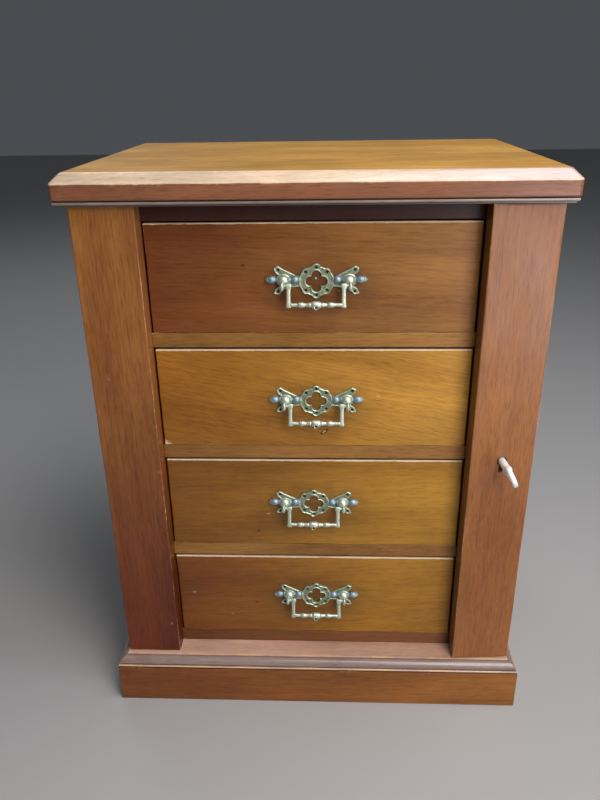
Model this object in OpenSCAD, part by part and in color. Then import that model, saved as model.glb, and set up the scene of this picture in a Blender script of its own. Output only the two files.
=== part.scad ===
// Table-top Wellington chest: four drawers behind a hinged, locking pilaster.
// Origin at the centre of the base. +Z is up, the drawers face -Y.

/* [Overall] */
// Overall height, floor to top
chest_h = 523.5; // [515:0.5:535]
// Width of the carcass over its two sides
carcass_w = 381.4; // [375:0.2:390]
// Depth of the carcass, from the drawer fronts to the back
carcass_d = 256; // [240:1:270]
// Thickness of the carcass sides
side_t = 12; // [10:0.5:14]

/* [Top] */
// Width of the top slab
top_w = 400; // [396:1:404]
// Depth of the top slab
top_d = 286; // [280:1:290]
// Thickness of the top slab
top_t = 20.5; // [18:0.5:24]
// Leg of the chamfer on the slab's upper front and side edges
top_chamfer = 7.3; // [4:0.1:9]
// Height of the bead moulding beneath the slab
bead_h = 4.4; // [3:0.2:6]
// How far the bead stands back from the slab's edge
bead_inset = 1.2; // [0.5:0.1:2]

/* [Base] */
// Height of the plinth boards
plinth_h = 42.4; // [36:0.2:46]
// Width of the plinth
plinth_w = 401.6; // [398:0.2:404]
// How far the plinth stands in front of the drawer fronts
plinth_reach = 29.9; // [27:0.1:32]
// Thickness of the plinth boards
plinth_t = 18; // [14:1:20]
// Thickness of the moulded frame that the carcass stands on
base_frame_t = 10.6; // [9:0.2:12]
// How far the moulding slopes back from the plinth's face
base_slope = 8.2; // [6:0.2:9]

/* [Pilasters] */
// Thickness of both pilasters
pilaster_t = 16.8; // [15:0.2:18]
// Width of the fixed left pilaster
left_pilaster_w = 52.4; // [50:0.2:53]
// Width of the hinged right pilaster
right_pilaster_w = 55.5; // [54:0.1:55.6]
// How far the hinged pilaster stands open at rest, in degrees
ajar = 4; // [2:0.5:5]
// Height of the lock's centre above the floor
lock_z = 277.3; // [270:0.1:290]
// Distance of the keyhole from the chest's centre line
lock_x = 163.4; // [162:0.1:168]
// How far the key is turned at rest, in degrees
key_turned = 25; // [0:1:45]

/* [Drawers] */
// Height of each drawer front
drawer_h = 92.5; // [88:0.5:93]
// Height of a divider rail between drawers
rail_h = 13.5; // [12:0.5:15]
// Gap above each drawer front
drawer_gap = 1.5; // [1:0.1:2]
// Thickness of a drawer front
front_t = 15; // [13:0.5:16]
// Thickness of the drawer sides and backs
lining_t = 7; // [6:0.5:8]
// Thickness of a drawer bottom
bottom_t = 4; // [3:0.5:5]
// Length of a drawer from its front face to its back
drawer_l = 236; // [225:1:240]

/* [Handles] */
// Distance between a handle's two posts
post_pitch = 54; // [52:0.5:56]
// Span of a handle over its pointed finials
finial_span = 85; // [83:0.5:87]
// How far a bail's pivot stands out from the plate's back
bail_out = 6.5; // [6.4:0.1:8]
// Length of a bail from its pivot to the centre of its bar
bail_drop = 15.4; // [14:0.1:17]
// How far a bail at rest leans out from its drawer, in degrees
bail_lean = 17; // [15:1:25]

/* [Hidden] */
$fn = 48;
BODIES_OF_DRAWER = 4;
PARTS_OF_DRAWER = ["front", "sides", "back", "bottom", "plate", "posts", "bail"];
function drawer_node(i, part) = str("drawer_", i, "_", part);

WOOD_TOP = "peru";
WOOD_RED = "sienna";
WOOD_GOLD = "chocolate";
WOOD_PALE = "burlywood";
BRASS = "darkkhaki";
STEEL = "silver";

// Places worked out from the driving dimensions
front_y = -(carcass_d - plinth_reach) / 2;
back_y = front_y + carcass_d;
half_w = carcass_w / 2;
slab_z = chest_h - top_t;
bead_z = slab_z - bead_h;
base_z = plinth_h + base_frame_t;
slab_front_y = front_y - 26.2;
opening_l = half_w - left_pilaster_w + 0.2;
opening_r = half_w - right_pilaster_w + 1.1;
drawer_l_x = -(opening_l - 1.6);
drawer_r_x = half_w - right_pilaster_w - 0.4;
drawer_w = drawer_r_x - drawer_l_x;
pitch = drawer_h + drawer_gap + rail_h;
bottom_rail_h = 13.9;
drawer_base = [for (i = [0 : 3]) base_z + bottom_rail_h + (3 - i) * pitch];
frieze_z = drawer_base[0] + drawer_h + drawer_gap;
stile_t = 14;
back_t = 6;
rail_d = 40;

// Each handle was set by hand, a little off its drawer's centre, across and up
handle_shift = [[2.4, -1.3], [1.7, -1.3], [-1.2, 0.8], [0.6, 0.7]];
function handle_at(i) = [handle_shift[i - 1][0], front_y, drawer_base[i - 1] + drawer_h / 2
    + handle_shift[i - 1][1]];

// The pilaster's hinge line, at its outer rear edge
knuckle_r = 2.2;
hinge_x = half_w + knuckle_r + 0.2;
face_gap = 0.3;
hinge_y = front_y - face_gap / 2;
hinge_len = 40;
hinge_z = [base_z + 62, bead_z - 62 - hinge_len];
leaf_t = 1.2;
leaf_w = 13;
pin_r = 0.9;

// Lock, in the pilaster's back: the bolt lifts by bolt_throw over a quarter turn of the key
bolt_throw = 4;
bolt_rest = bolt_throw * key_turned / 90;
case_w = 32;
case_h = 44;
case_d = 10;
case_wall = 1;
key_r = 3.4;
keyhole_r = 4.3;
key_reach = 36.5;
bow_r = 10;

// A box from its low corner to its high corner
module block(low, high) translate(low) cube(high - low);

// A YZ outline drawn along X, and an XZ outline drawn towards -Y
module along_x(length) rotate([90, 0, 90]) linear_extrude(length) children();
module along_y(length) rotate([90, 0, 0]) linear_extrude(length) children();

// Spins an outline about the X axis: its x runs along the axis, its y is the radius
module turned() rotate([0, 90, 0]) rotate_extrude() rotate(90) mirror([0, 1]) children();

// Swings what is drawn closed round the pilaster's hinge line
module swung(angle = ajar)
    translate([hinge_x, hinge_y, 0]) rotate([0, 0, angle]) translate([-hinge_x, -hinge_y, 0]) children();

// ---- Top ----
module top_slab() color(WOOD_TOP) difference() {
    block([-top_w / 2, slab_front_y, slab_z], [top_w / 2, slab_front_y + top_d, chest_h]);
    translate([-top_w / 2 - 1, slab_front_y, chest_h]) along_x(top_w + 2) chamfer_cut();
    for (side = [0, 1]) mirror([side, 0, 0])
        translate([-top_w / 2, slab_front_y + top_d + 1, chest_h]) along_y(top_d + 2) chamfer_cut();
}
module chamfer_cut() polygon([[-1, -top_chamfer - 1], [-1, 1], [top_chamfer + 1, 1]]);

// The bead's outline, drawn with its nose towards -x: a half round above a small fillet
module bead_outline(depth) {
    nose = bead_h * 0.38;
    translate([nose, bead_h - nose]) circle(nose);
    polygon([[nose, bead_h], [depth, bead_h], [depth, 0], [1.6, 0], [1.6, bead_h - 2 * nose],
        [nose, bead_h - 2 * nose]]);
}
module top_bead() color(WOOD_RED) {
    reach = top_w / 2 - bead_inset;
    nose_y = slab_front_y + bead_inset;
    side_d = reach - half_w;
    depth = front_y - nose_y;
    intersection() {
        translate([-reach, nose_y, bead_z]) along_x(2 * reach) bead_outline(depth);
        linear_extrude(chest_h) polygon([[-reach, nose_y], [reach, nose_y], [reach - depth, front_y],
            [-reach + depth, front_y]]);
    }
    for (side = [0, 1]) mirror([side, 0, 0]) intersection() {
        translate([-reach, back_y, bead_z]) along_y(back_y - nose_y) bead_outline(side_d);
        linear_extrude(chest_h) polygon([[-reach, nose_y], [-reach, back_y], [-half_w, back_y],
            [-half_w, nose_y + side_d]]);
    }
}

// ---- Carcass ----
module frieze_rail() color(WOOD_RED)
    block([-opening_l, front_y, frieze_z], [opening_r, front_y + rail_d, slab_z]);
module side_board(side) color(WOOD_RED) difference() {
    mirror([side, 0, 0]) block([-half_w, front_y, base_z], [-half_w + side_t, back_y, slab_z]);
    hinge_mortise(0);
    leaf_screws(front_y, 1);
}
module left_stile() color(WOOD_RED)
    block([-half_w + side_t, front_y, base_z], [-opening_l, front_y + stile_t, slab_z]);
module right_stile() color(WOOD_RED) difference() {
    block([opening_r, front_y, base_z], [half_w - side_t, front_y + stile_t, slab_z]);
    strike_outline(strike_t, 0);
    block([lock_x - 6, front_y - 1, lock_z - 9], [lock_x + 6, front_y + 10, lock_z + 12]);
    hinge_mortise(0);
}
module left_pilaster() color(WOOD_RED)
    block([-half_w, front_y - pilaster_t, base_z], [-half_w + left_pilaster_w, front_y, bead_z]);
module divider_rails() color(WOOD_GOLD) for (i = [0 : 2])
    block([-opening_l, front_y, drawer_base[i] - rail_h], [opening_r, front_y + rail_d, drawer_base[i]]);
module bottom_rail() color(WOOD_GOLD)
    block([-opening_l, front_y, base_z], [opening_r, front_y + rail_d, drawer_base[3]]);
module bottom_board() color(WOOD_PALE)
    block([-half_w + side_t, front_y + rail_d, base_z], [half_w - side_t, back_y - back_t, drawer_base[3]]);

// Strips under each drawer's sides, housed in the carcass sides behind the rails
runner_w = half_w - side_t - 105;
module drawer_runners() color(WOOD_PALE) for (i = [0 : 2]) for (side = [0, 1]) mirror([side, 0, 0])
    block([-half_w + side_t, front_y + rail_d, drawer_base[i] - rail_h],
        [-half_w + side_t + runner_w, back_y - back_t, drawer_base[i]]);
// Strips beside each drawer that keep it straight
module drawer_guides() color(WOOD_PALE) for (z = drawer_base) for (edge = [[-1, drawer_l_x], [1, drawer_r_x]])
    let (inner = edge[1] + edge[0] * 0.5, outer = edge[0] * (half_w - side_t))
    block([min(inner, outer), front_y + rail_d, z], [max(inner, outer), back_y - back_t, z + 12]);
module back_panel() color(WOOD_PALE)
    block([-half_w + side_t, back_y - back_t, base_z], [half_w - side_t, back_y, slab_z]);

// ---- Base ----
// The base moulding's outline, nose towards -x: a small bead, a quirk, a hollow and a top fillet
hollow_r = 5.6;
module base_outline(depth) {
    bead = 1.1;
    translate([bead, bead]) circle(bead);
    difference() {
        polygon([[bead, 0], [depth, 0], [depth, base_frame_t], [base_slope, base_frame_t],
            [base_slope, base_frame_t - 1.8], [base_slope - 0.9, base_frame_t - 1.8], [1.7, 3.1], [1.7, 2.2],
            [bead, 2 * bead]]);
        translate([base_slope - 6.6, base_frame_t + 0.9]) circle(hollow_r * 0.82);
    }
}
frame_w = 52;
// Mitred at the front, with a plain member across the back
module base_moulding() color(WOOD_RED) {
    reach = plinth_w / 2 - 0.4;
    nose_y = front_y - plinth_reach + 0.4;
    intersection() {
        translate([-reach, nose_y, plinth_h]) along_x(2 * reach) base_outline(frame_w);
        linear_extrude(chest_h) polygon([[-reach, nose_y], [reach, nose_y], [reach - frame_w, nose_y + frame_w],
            [-reach + frame_w, nose_y + frame_w]]);
    }
    for (side = [0, 1]) mirror([side, 0, 0]) intersection() {
        translate([-reach, back_y, plinth_h]) along_y(back_y - nose_y) base_outline(frame_w);
        linear_extrude(chest_h) polygon([[-reach, nose_y], [-reach, back_y], [-reach + frame_w, back_y],
            [-reach + frame_w, nose_y + frame_w]]);
    }
    block([-reach + frame_w, back_y - frame_w, plinth_h], [reach - frame_w, back_y, base_z]);
}
module plinth_front() color(WOOD_RED) linear_extrude(plinth_h)
    polygon([[-plinth_w / 2, front_y - plinth_reach], [plinth_w / 2, front_y - plinth_reach],
        [plinth_w / 2 - plinth_t, front_y - plinth_reach + plinth_t],
        [-plinth_w / 2 + plinth_t, front_y - plinth_reach + plinth_t]]);
module plinth_sides() color(WOOD_RED) for (side = [0, 1]) mirror([side, 0, 0]) linear_extrude(plinth_h)
    polygon([[-plinth_w / 2, front_y - plinth_reach], [-plinth_w / 2, back_y], [-plinth_w / 2 + plinth_t, back_y],
        [-plinth_w / 2 + plinth_t, front_y - plinth_reach + plinth_t]]);
module plinth_back() color(WOOD_PALE)
    block([-plinth_w / 2 + plinth_t, back_y - plinth_t, 0], [plinth_w / 2 - plinth_t, back_y, plinth_h]);
// Thin board that closes the underside, flush with the plinth's lower edges
base_panel_t = 4;
module base_panel() color(WOOD_PALE)
    block([-plinth_w / 2 + plinth_t, front_y - plinth_reach + plinth_t, 0],
        [plinth_w / 2 - plinth_t, back_y - plinth_t, base_panel_t]);
// Three-cornered glue blocks inside the plinth's corners
module plinth_blocks() color(WOOD_PALE) for (side = [0, 1]) mirror([side, 0, 0])
    for (corner = [[front_y - plinth_reach + plinth_t, 1], [back_y - plinth_t, -1]])
        translate([-plinth_w / 2 + plinth_t, corner[0], base_panel_t]) linear_extrude(plinth_h - base_panel_t)
            polygon([[0, 0], [22, 0], [0, 22 * corner[1]]]);

// ---- Hinges ----
// The leaf's mortise on the stile, and on the pilaster's back
module hinge_mortise(on_pilaster) for (z = hinge_z)
    block([half_w - leaf_w, on_pilaster ? front_y - face_gap - leaf_t : front_y - 1, z],
        [half_w + 1, on_pilaster ? front_y + 1 : front_y + leaf_t, z + hinge_len]);
// Knuckle stretches up the hinge: the fixed leaf has the middle, the moving leaf the two ends
knuckle_z = [0, 13, 27, hinge_len];
module knuckle(z0, z1) translate([hinge_x, hinge_y, z0]) cylinder(r = knuckle_r, h = z1 - z0);
module pin_bore(z, r) translate([hinge_x, hinge_y, z - 1]) cylinder(r = r, h = hinge_len + 2);
module leaf_screw_holes(y, z) for (dz = [7, hinge_len / 2, hinge_len - 7])
    translate([half_w - 7, y + 10, z + dz]) rotate([90, 0, 0]) cylinder(r = 1.2, h = 20);
module hinge_fixed_leaves() color(BRASS) for (z = hinge_z) difference() {
    union() {
        block([half_w - leaf_w, front_y, z], [half_w, front_y + leaf_t, z + hinge_len]);
        block([half_w - 1, front_y, z + knuckle_z[1] + 0.1], [hinge_x, front_y + leaf_t, z + knuckle_z[2] - 0.1]);
        knuckle(z + knuckle_z[1] + 0.1, z + knuckle_z[2] - 0.1);
    }
    pin_bore(z, pin_r);
    leaf_screw_holes(front_y, z);
}
module hinge_moving_leaves() color(BRASS) swung() for (z = hinge_z) difference() {
    leaf_y = front_y - face_gap - leaf_t;
    union() {
        block([half_w - leaf_w, leaf_y, z], [half_w, leaf_y + leaf_t, z + hinge_len]);
        for (k = [0, 2]) {
            low = z + knuckle_z[k] + (k == 0 ? 0 : 0.1);
            high = z + knuckle_z[k + 1] - (k == 0 ? 0.1 : 0);
            block([half_w - 1, leaf_y, low], [hinge_x, leaf_y + leaf_t, high]);
            knuckle(low, high);
        }
    }
    pin_bore(z, pin_r + 0.05);
    leaf_screw_holes(front_y, z);
}
module hinge_pins() color(STEEL) for (z = hinge_z)
    translate([hinge_x, hinge_y, z]) cylinder(r = pin_r, h = hinge_len);
// Countersunk screws through the leaves, their heads flush
module leaf_screws(head_y, way) for (z = hinge_z) for (dz = [7, hinge_len / 2, hinge_len - 7])
    translate([half_w - 7, head_y, z + dz]) rotate([-90 * way, 0, 0]) cylinder(r = 1.2, h = 9);
module hinge_fixed_screws() color(BRASS) leaf_screws(front_y, 1);
module hinge_moving_screws() color(BRASS) swung() leaf_screws(front_y - face_gap, -1);

// ---- Lock ----
strike_t = 1.5;
module strike_outline(t, grow) block([lock_x - 9, front_y - grow, lock_z - 15], [lock_x + 9, front_y + t, lock_z + 18]);
// The slot is wider towards the drawers, because the bolt leaves it on an arc
module strike_plate() color(BRASS) difference() {
    strike_outline(strike_t, 0);
    block([lock_x - 3.9, front_y - 1, lock_z - 6.6], [lock_x + 2.3, front_y + 3, lock_z + 4.8]);
}
module keyhole(r, slot_w, drop, depth) {
    rotate([90, 0, 0]) cylinder(r = r, h = depth);
    translate([-slot_w / 2, -depth, -drop]) cube([slot_w, depth, drop]);
}
module case_space(grow, y0, y1) block([lock_x - case_w / 2 - grow, y0, lock_z - case_h / 2 - grow],
    [lock_x + case_w / 2 + grow, y1, lock_z + case_h / 2 + grow]);
case_y = front_y - face_gap - case_d;
module right_pilaster() color(WOOD_RED) swung() difference() {
    block([half_w - right_pilaster_w, front_y - face_gap - pilaster_t, base_z + 0.6],
        [half_w, front_y - face_gap, bead_z - 0.6]);
    case_space(0, case_y, front_y);
    translate([lock_x, case_y + 1, lock_z]) keyhole(keyhole_r, 4.4, 10.6, pilaster_t);
    hinge_mortise(1);
    leaf_screws(front_y - face_gap, -1);
}
module lock_case() color(BRASS) swung() difference() {
    case_space(0, case_y, front_y - face_gap - case_wall);
    case_space(-case_wall, case_y + case_wall, front_y);
    translate([lock_x, case_y + 2, lock_z]) keyhole(keyhole_r, 4.4, 10.6, 4);
}
module lock_cover() color(BRASS) swung() difference() {
    case_space(0, front_y - face_gap - case_wall, front_y - face_gap);
    block([lock_x - 2.2, front_y - 3, lock_z - 6.6], [lock_x + 2.2, front_y + 1, lock_z + 4.8]);
}
// Hook bolt: a plate inside the case, a shank through the cover, and a nose that rises behind the strike
module lock_bolt() color(BRASS) swung() translate([lock_x, front_y - face_gap, lock_z + bolt_rest]) {
    block([-9, -4.2, -14], [9, -1.8, 12]);
    block([-1.5, -1.8, -6], [1.5, 8, 0]);
    block([-1.5, 4.4, 0], [1.5, 8, 4]);
}
// The key, its bow and bit turned together by key_turned
bow_t = 4.6;
module key() color(STEEL) swung() translate([lock_x, front_y, lock_z]) rotate([0, -key_turned, 0]) {
    face_y = -face_gap - pilaster_t;
    bow_y = face_y - key_reach + bow_r;
    difference() {
        union() {
            translate([0, -5.6, 0]) rotate([90, 0, 0]) cylinder(r = key_r, h = -bow_y - 5.6 - bow_r + 3);
            translate([-bow_t / 2, bow_y, 0]) rotate([0, 90, 0]) cylinder(r = bow_r, h = bow_t);
        }
        translate([-bow_t, bow_y - 0.8, 0]) rotate([0, 90, 0]) cylinder(r = bow_r - 4.6, h = 2 * bow_t);
    }
    block([-1.4, -9, -10], [1.4, -5.8, 0]);
}

// ---- Drawers ----
module drawer_front(i) color(WOOD_GOLD) {
    z = drawer_base[i - 1];
    difference() {
        block([drawer_l_x, front_y - 0.5, z + 0.1], [drawer_r_x, front_y - 0.5 + front_t, z + drawer_h]);
        for (side = [-1, 1]) translate(handle_at(i) + [side * post_pitch / 2, 20, 0])
            rotate([90, 0, 0]) cylinder(r = shank_r, h = 40);
    }
}
side_h = drawer_h - 6;
box_y = front_y - 0.5 + front_t;
module drawer_sides(i) color(WOOD_PALE) for (x = [drawer_l_x, drawer_r_x - lining_t])
    block([x, box_y, drawer_base[i - 1] + 0.1], [x + lining_t, front_y + drawer_l, drawer_base[i - 1] + side_h]);
module drawer_back(i) color(WOOD_PALE)
    block([drawer_l_x + lining_t, front_y + drawer_l - lining_t, drawer_base[i - 1] + 6],
        [drawer_r_x - lining_t, front_y + drawer_l, drawer_base[i - 1] + side_h - 3]);
module drawer_bottom(i) color(WOOD_PALE)
    block([drawer_l_x + lining_t, box_y, drawer_base[i - 1] + 2],
        [drawer_r_x - lining_t, front_y + drawer_l, drawer_base[i - 1] + 2 + bottom_t]);

// ---- Handles, drawn round the middle of their plate, which lies on the drawer front ----
plate_t = 1.3;
shank_r = 2;
pivot_z = -2.5;
finial_z = 1.5;
post_x = post_pitch / 2;
module at_handle(i) translate(handle_at(i) + [0, -0.5, 0]) children();

// A wing, on the side of +x: a rising upper arm and a lower arm, each with a holed, pointed end
upper_eye = [31.2, 8.9];
lower_eye = [31.6, -9.2];
module wing_outline() polygon([[9, 5], [15, 4.6], [20, 6.6], [27.3, 10.2], [31.6, 12.4], [34.8, 10.4],
    [33.8, 7], [30.4, 4.2], [29.6, -3.6], [33.8, -7], [35.4, -11.4], [31.4, -12.2], [28.4, -8.8], [25, -6],
    [14, -5.3], [9, -5]]);
lobe_at = 11;
pierce_at = 5;
module plate_outline() difference() {
    union() {
        for (side = [0, 1]) mirror([side, 0]) wing_outline();
        circle(12.2);
        for (k = [0 : 7]) rotate(k * 45) translate([lobe_at, 0]) circle(3.6);
    }
    circle(3);
    for (k = [0 : 3]) rotate(k * 90) translate([pierce_at, 0]) circle(3.9);
    for (k = [1, 2, 3, 5, 6, 7]) rotate(k * 45) translate([lobe_at + 0.6, 0]) circle(1.2);
    for (side = [-1, 1]) {
        translate([side * upper_eye[0], upper_eye[1]]) circle(1.3);
        translate([side * lower_eye[0], lower_eye[1]]) circle(1.1);
        translate([side * post_x, 0]) circle(shank_r);
    }
}

// A finial in relief: an egg beside the roundel, and beyond the post a longer egg with a point.
// x runs along its axis from the handle's centre, y is its radius.
tip_x = finial_span / 2;
function egg(middle, half_l, r) = [for (a = [0 : 15 : 180]) [middle - half_l * cos(a), r * sin(a)]];
module finial_outline() {
    polygon(egg(17.4, 4, 3.2));
    polygon([[20, 0], [20, 1.7], [23, 2.4], [31, 2.4], [34, 1.8], [34, 0]]);
    polygon(egg(36.6, 4.8, 3));
    polygon([[39.5, 0], [39.5, 2.2], [tip_x - 1, 0.7], [tip_x, 0]]);
}
module drawer_plate(i) color(BRASS) at_handle(i) {
    along_y(plate_t) plate_outline();
    difference() {
        for (side = [0, 1]) mirror([side, 0, 0]) translate([0, -plate_t, finial_z]) turned() finial_outline();
        block([-60, -plate_t / 2, -20], [60, 20, 20]);
        for (side = [-1, 1]) translate([side * post_x, 1, 0]) rotate([90, 0, 0]) cylinder(r = boss_r, h = 20);
    }
}

// A post: a domed boss on the plate, a stub that carries the bail's pin, a shank and its nut
boss_r = 5;
stub_r = 3;
stub_x = post_x + 1;
pin_tip_x = stub_x + 0.6;
module drawer_posts(i) color(BRASS) at_handle(i) for (side = [0, 1]) mirror([side, 0, 0]) {
    difference() {
        union() {
            translate([post_x, -plate_t, 0]) rotate([90, 0, 0]) cylinder(r = boss_r - 0.1, h = 1.6);
            intersection() {
                translate([post_x, -plate_t - 1, 0]) sphere(boss_r - 0.1);
                block([0, -12, -12], [60, -plate_t, 12]);
            }
            translate([stub_x, -plate_t, pivot_z]) rotate([90, 0, 0]) cylinder(r = stub_r, h = bail_out - plate_t + 2.6);
        }
        translate([arm_x, -bail_out, pivot_z]) rotate([0, 90, 0]) cylinder(r = pin_hole_r, h = pin_tip_x + 0.2 - arm_x);
        swept_arm();
    }
    translate([post_x, front_t, 0]) rotate([90, 0, 0]) cylinder(r = shank_r, h = front_t + plate_t);
    translate([post_x, front_t + 3, 0]) rotate([90, 0, 0]) cylinder(r = 4, h = 3, $fn = 6);
}
// Room for the bail's arm beside the boss, all the way round its pin
module swept_arm() translate([0, -bail_out, pivot_z]) rotate([0, 90, 0]) cylinder(r = arm_t + 1.2, h = arm_x + arm_w / 2 + 0.2);

// The bail: two flat arms on pins, and a turned bar with rings and a bulb in the middle
arm_x = 22.6;
arm_w = 3.2;
arm_t = 2.2;
pin_hole_r = 1.35;
bar_x = arm_x - arm_w / 2 + 0.3;
module bar_outline() polygon(concat([[-bar_x, 0], [-bar_x, 1.9], [-14.4, 1.7]],
    [[-13.4, 2.5], [-12.4, 2.5], [-12, 2], [-11.6, 2.5], [-10.6, 2.5], [-9.8, 1.8], [-5.6, 2.1]],
    [for (a = [30 : 20 : 150]) [-5 * cos(a), 3.4 * sin(a)]],
    [[5.6, 2.1], [9.8, 1.8], [10.6, 2.5], [11.6, 2.5], [12, 2], [12.4, 2.5], [13.4, 2.5]],
    [[14.4, 1.7], [bar_x, 1.9], [bar_x, 0]]));
// An arm as seen from the front, from its pin down past the bar
module arm_outline() polygon([[-arm_w / 2, 2], [arm_w / 2, 2], [arm_w / 2 - 0.4, -bail_drop / 2],
    [arm_w / 2 + 0.3, -bail_drop - 2.3], [-arm_w / 2 - 0.3, -bail_drop - 2.3], [-arm_w / 2 + 0.4, -bail_drop / 2]]);
module drawer_bail(i) color(BRASS) at_handle(i) translate([0, -bail_out, pivot_z]) rotate([-bail_lean, 0, 0]) {
    for (side = [0, 1]) mirror([side, 0, 0]) {
        translate([arm_x, arm_t / 2, 0]) along_y(arm_t) arm_outline();
        translate([arm_x, 0, 0]) rotate([0, 90, 0]) cylinder(r = pin_hole_r - 0.05, h = pin_tip_x - arm_x);
    }
    translate([0, 0, -bail_drop]) turned() bar_outline();
    translate([0, 0, -bail_drop - 3.4]) sphere(1.5);
}

// ---- One sub-part at a time ----
top_slab();
top_bead();
frieze_rail();
side_board(0);  // left_side
side_board(1);  // right_side
left_stile();
right_stile();
left_pilaster();
divider_rails();
bottom_rail();
bottom_board();
drawer_runners();
drawer_guides();
back_panel();
base_moulding();
plinth_front();
plinth_sides();
plinth_back();
plinth_blocks();
base_panel();
hinge_fixed_leaves();
hinge_pins();
hinge_fixed_screws();
strike_plate();
right_pilaster();
hinge_moving_leaves();
hinge_moving_screws();
lock_case();
lock_cover();
lock_bolt();
key();
for (i = [1 : BODIES_OF_DRAWER]) {
    drawer_front(i);
    drawer_sides(i);
    drawer_back(i);
    drawer_bottom(i);
    drawer_plate(i);
    drawer_posts(i);
    drawer_bail(i);
}
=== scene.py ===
"""A table-top Wellington chest: polished mahogany, cast brass bail handles, a locking pilaster and its key.

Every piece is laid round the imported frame, in the frame's own place. Lengths are in millimetres until a mesh
is made, and the drawers face -Y. Shapes are worked out with numpy as whole arrays; materials are node-built.
"""

import logging
import math
from dataclasses import dataclass, field
from enum import Enum

import bmesh
import bpy
import numpy as np
from mathutils import Matrix, Vector


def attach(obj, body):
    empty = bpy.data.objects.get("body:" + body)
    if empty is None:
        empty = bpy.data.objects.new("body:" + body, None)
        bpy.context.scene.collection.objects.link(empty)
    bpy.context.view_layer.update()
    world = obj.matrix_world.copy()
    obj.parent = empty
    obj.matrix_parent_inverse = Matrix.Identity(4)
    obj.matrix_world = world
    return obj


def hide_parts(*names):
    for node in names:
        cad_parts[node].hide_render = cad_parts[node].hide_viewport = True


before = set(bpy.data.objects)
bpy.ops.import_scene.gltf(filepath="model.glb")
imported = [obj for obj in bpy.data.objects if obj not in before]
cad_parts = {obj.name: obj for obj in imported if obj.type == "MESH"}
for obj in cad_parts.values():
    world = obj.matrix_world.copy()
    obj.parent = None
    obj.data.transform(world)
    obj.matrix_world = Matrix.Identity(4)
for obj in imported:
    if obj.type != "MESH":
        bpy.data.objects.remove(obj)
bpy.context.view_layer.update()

MM = 0.001
log = logging.getLogger("chest")


# ---------------------------------------------------------------- shapes


@dataclass
class Shape:
    """A surface: points in mm, faces as index lists, how bare each point is, and how dark it is painted with grime and
    painted shade, from 0 to 1.

    finish is the number of the material slot that its faces take.
    """

    points: np.ndarray
    faces: list
    bare: np.ndarray | None = None
    grime_and_shade: np.ndarray | None = None
    finish: int | np.ndarray = 0

    def __post_init__(self) -> None:
        """Fills in what was not given."""
        count = len(self.points)
        self.bare = np.zeros(count) if self.bare is None else self.bare
        self.grime_and_shade = np.zeros(count) if self.grime_and_shade is None else self.grime_and_shade
        if np.ndim(self.finish) == 0:
            self.finish = np.full(len(self.faces), self.finish)

    def moved(self, matrix: Matrix) -> "Shape":
        """The same surface carried by a matrix whose lengths are in mm."""
        m = np.array(matrix)
        return Shape(self.points @ m[:3, :3].T + m[:3, 3], self.faces, self.bare, self.grime_and_shade, self.finish)


def joined(shapes: list[Shape]) -> Shape:
    """Makes several surfaces one, each still closed on its own.

    Args:
        shapes: the surfaces.

    Returns:
        All of them as one.
    """
    starts = np.cumsum([0] + [len(s.points) for s in shapes])
    faces = [[i + start for i in face] for s, start in zip(shapes, starts) for face in s.faces]
    return Shape(
        np.concatenate([s.points for s in shapes]),
        faces,
        np.concatenate([s.bare for s in shapes]),
        np.concatenate([s.grime_and_shade for s in shapes]),
        np.concatenate([s.finish for s in shapes]),
    )


def ripple(points: np.ndarray, size: float, seed: int) -> np.ndarray:
    """Smooth unevenness from about -1 to 1: a sum of seven sine waves with seeded directions.

    Args:
        points: where it is wanted, in mm.
        size: the length of its swells, in mm.
        seed: which unevenness.

    Returns:
        One value for each point.
    """
    rng = np.random.default_rng(seed)
    ways = rng.normal(size=(7, 3))
    ways /= np.linalg.norm(ways, axis=1)[:, None]
    ways *= (2 * math.pi / size * rng.uniform(0.6, 1.7, 7))[:, None]
    return np.sin(points @ ways.T + rng.uniform(0, 7, 7)).sum(1) / 3.2


def grid_faces(rows: int, columns: int, wrap_rows: bool) -> list:
    """Four-cornered faces of a grid of points numbered row by row, whose last column joins its first.

    Args:
        rows: how many rows.
        columns: how many points in each.
        wrap_rows: whether the last row joins the first too.

    Returns:
        The faces, each as four point numbers.
    """
    i = np.arange(rows if wrap_rows else rows - 1)[:, None]
    j = np.arange(columns)[None, :]
    right, above = (j + 1) % columns, (i + 1) % rows
    corners = [i * columns + j, i * columns + right, above * columns + right, above * columns + j]
    return np.stack(np.broadcast_arrays(*corners), -1).reshape(-1, 4).tolist()


def loft(rings: np.ndarray, bare: np.ndarray | None = None, grime_and_shade: np.ndarray | None = None,
         wrap_rows: bool = False, finish: int = 0) -> Shape:
    """A surface through closed rings, one after another: point j of each ring joins point j of the next.

    The first and last rings are filled with a face each, unless they join each other.

    Args:
        rings: array of ring, point, xyz.
        bare: how worn each point is, as an array of ring and point.
        grime_and_shade: the same for real grime and painted shade.
        wrap_rows: whether the last ring joins the first.
        finish: its material slot.

    Returns:
        The surface.
    """
    rows, columns, _ = rings.shape
    faces = grid_faces(rows, columns, wrap_rows)
    if not wrap_rows:
        faces += [list(range(columns)), list(range((rows - 1) * columns, rows * columns))]
    flat = [None if a is None else np.broadcast_to(a, (rows, columns)).ravel() for a in (bare, grime_and_shade)]
    return Shape(rings.reshape(-1, 3), faces, flat[0], flat[1], finish)


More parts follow.
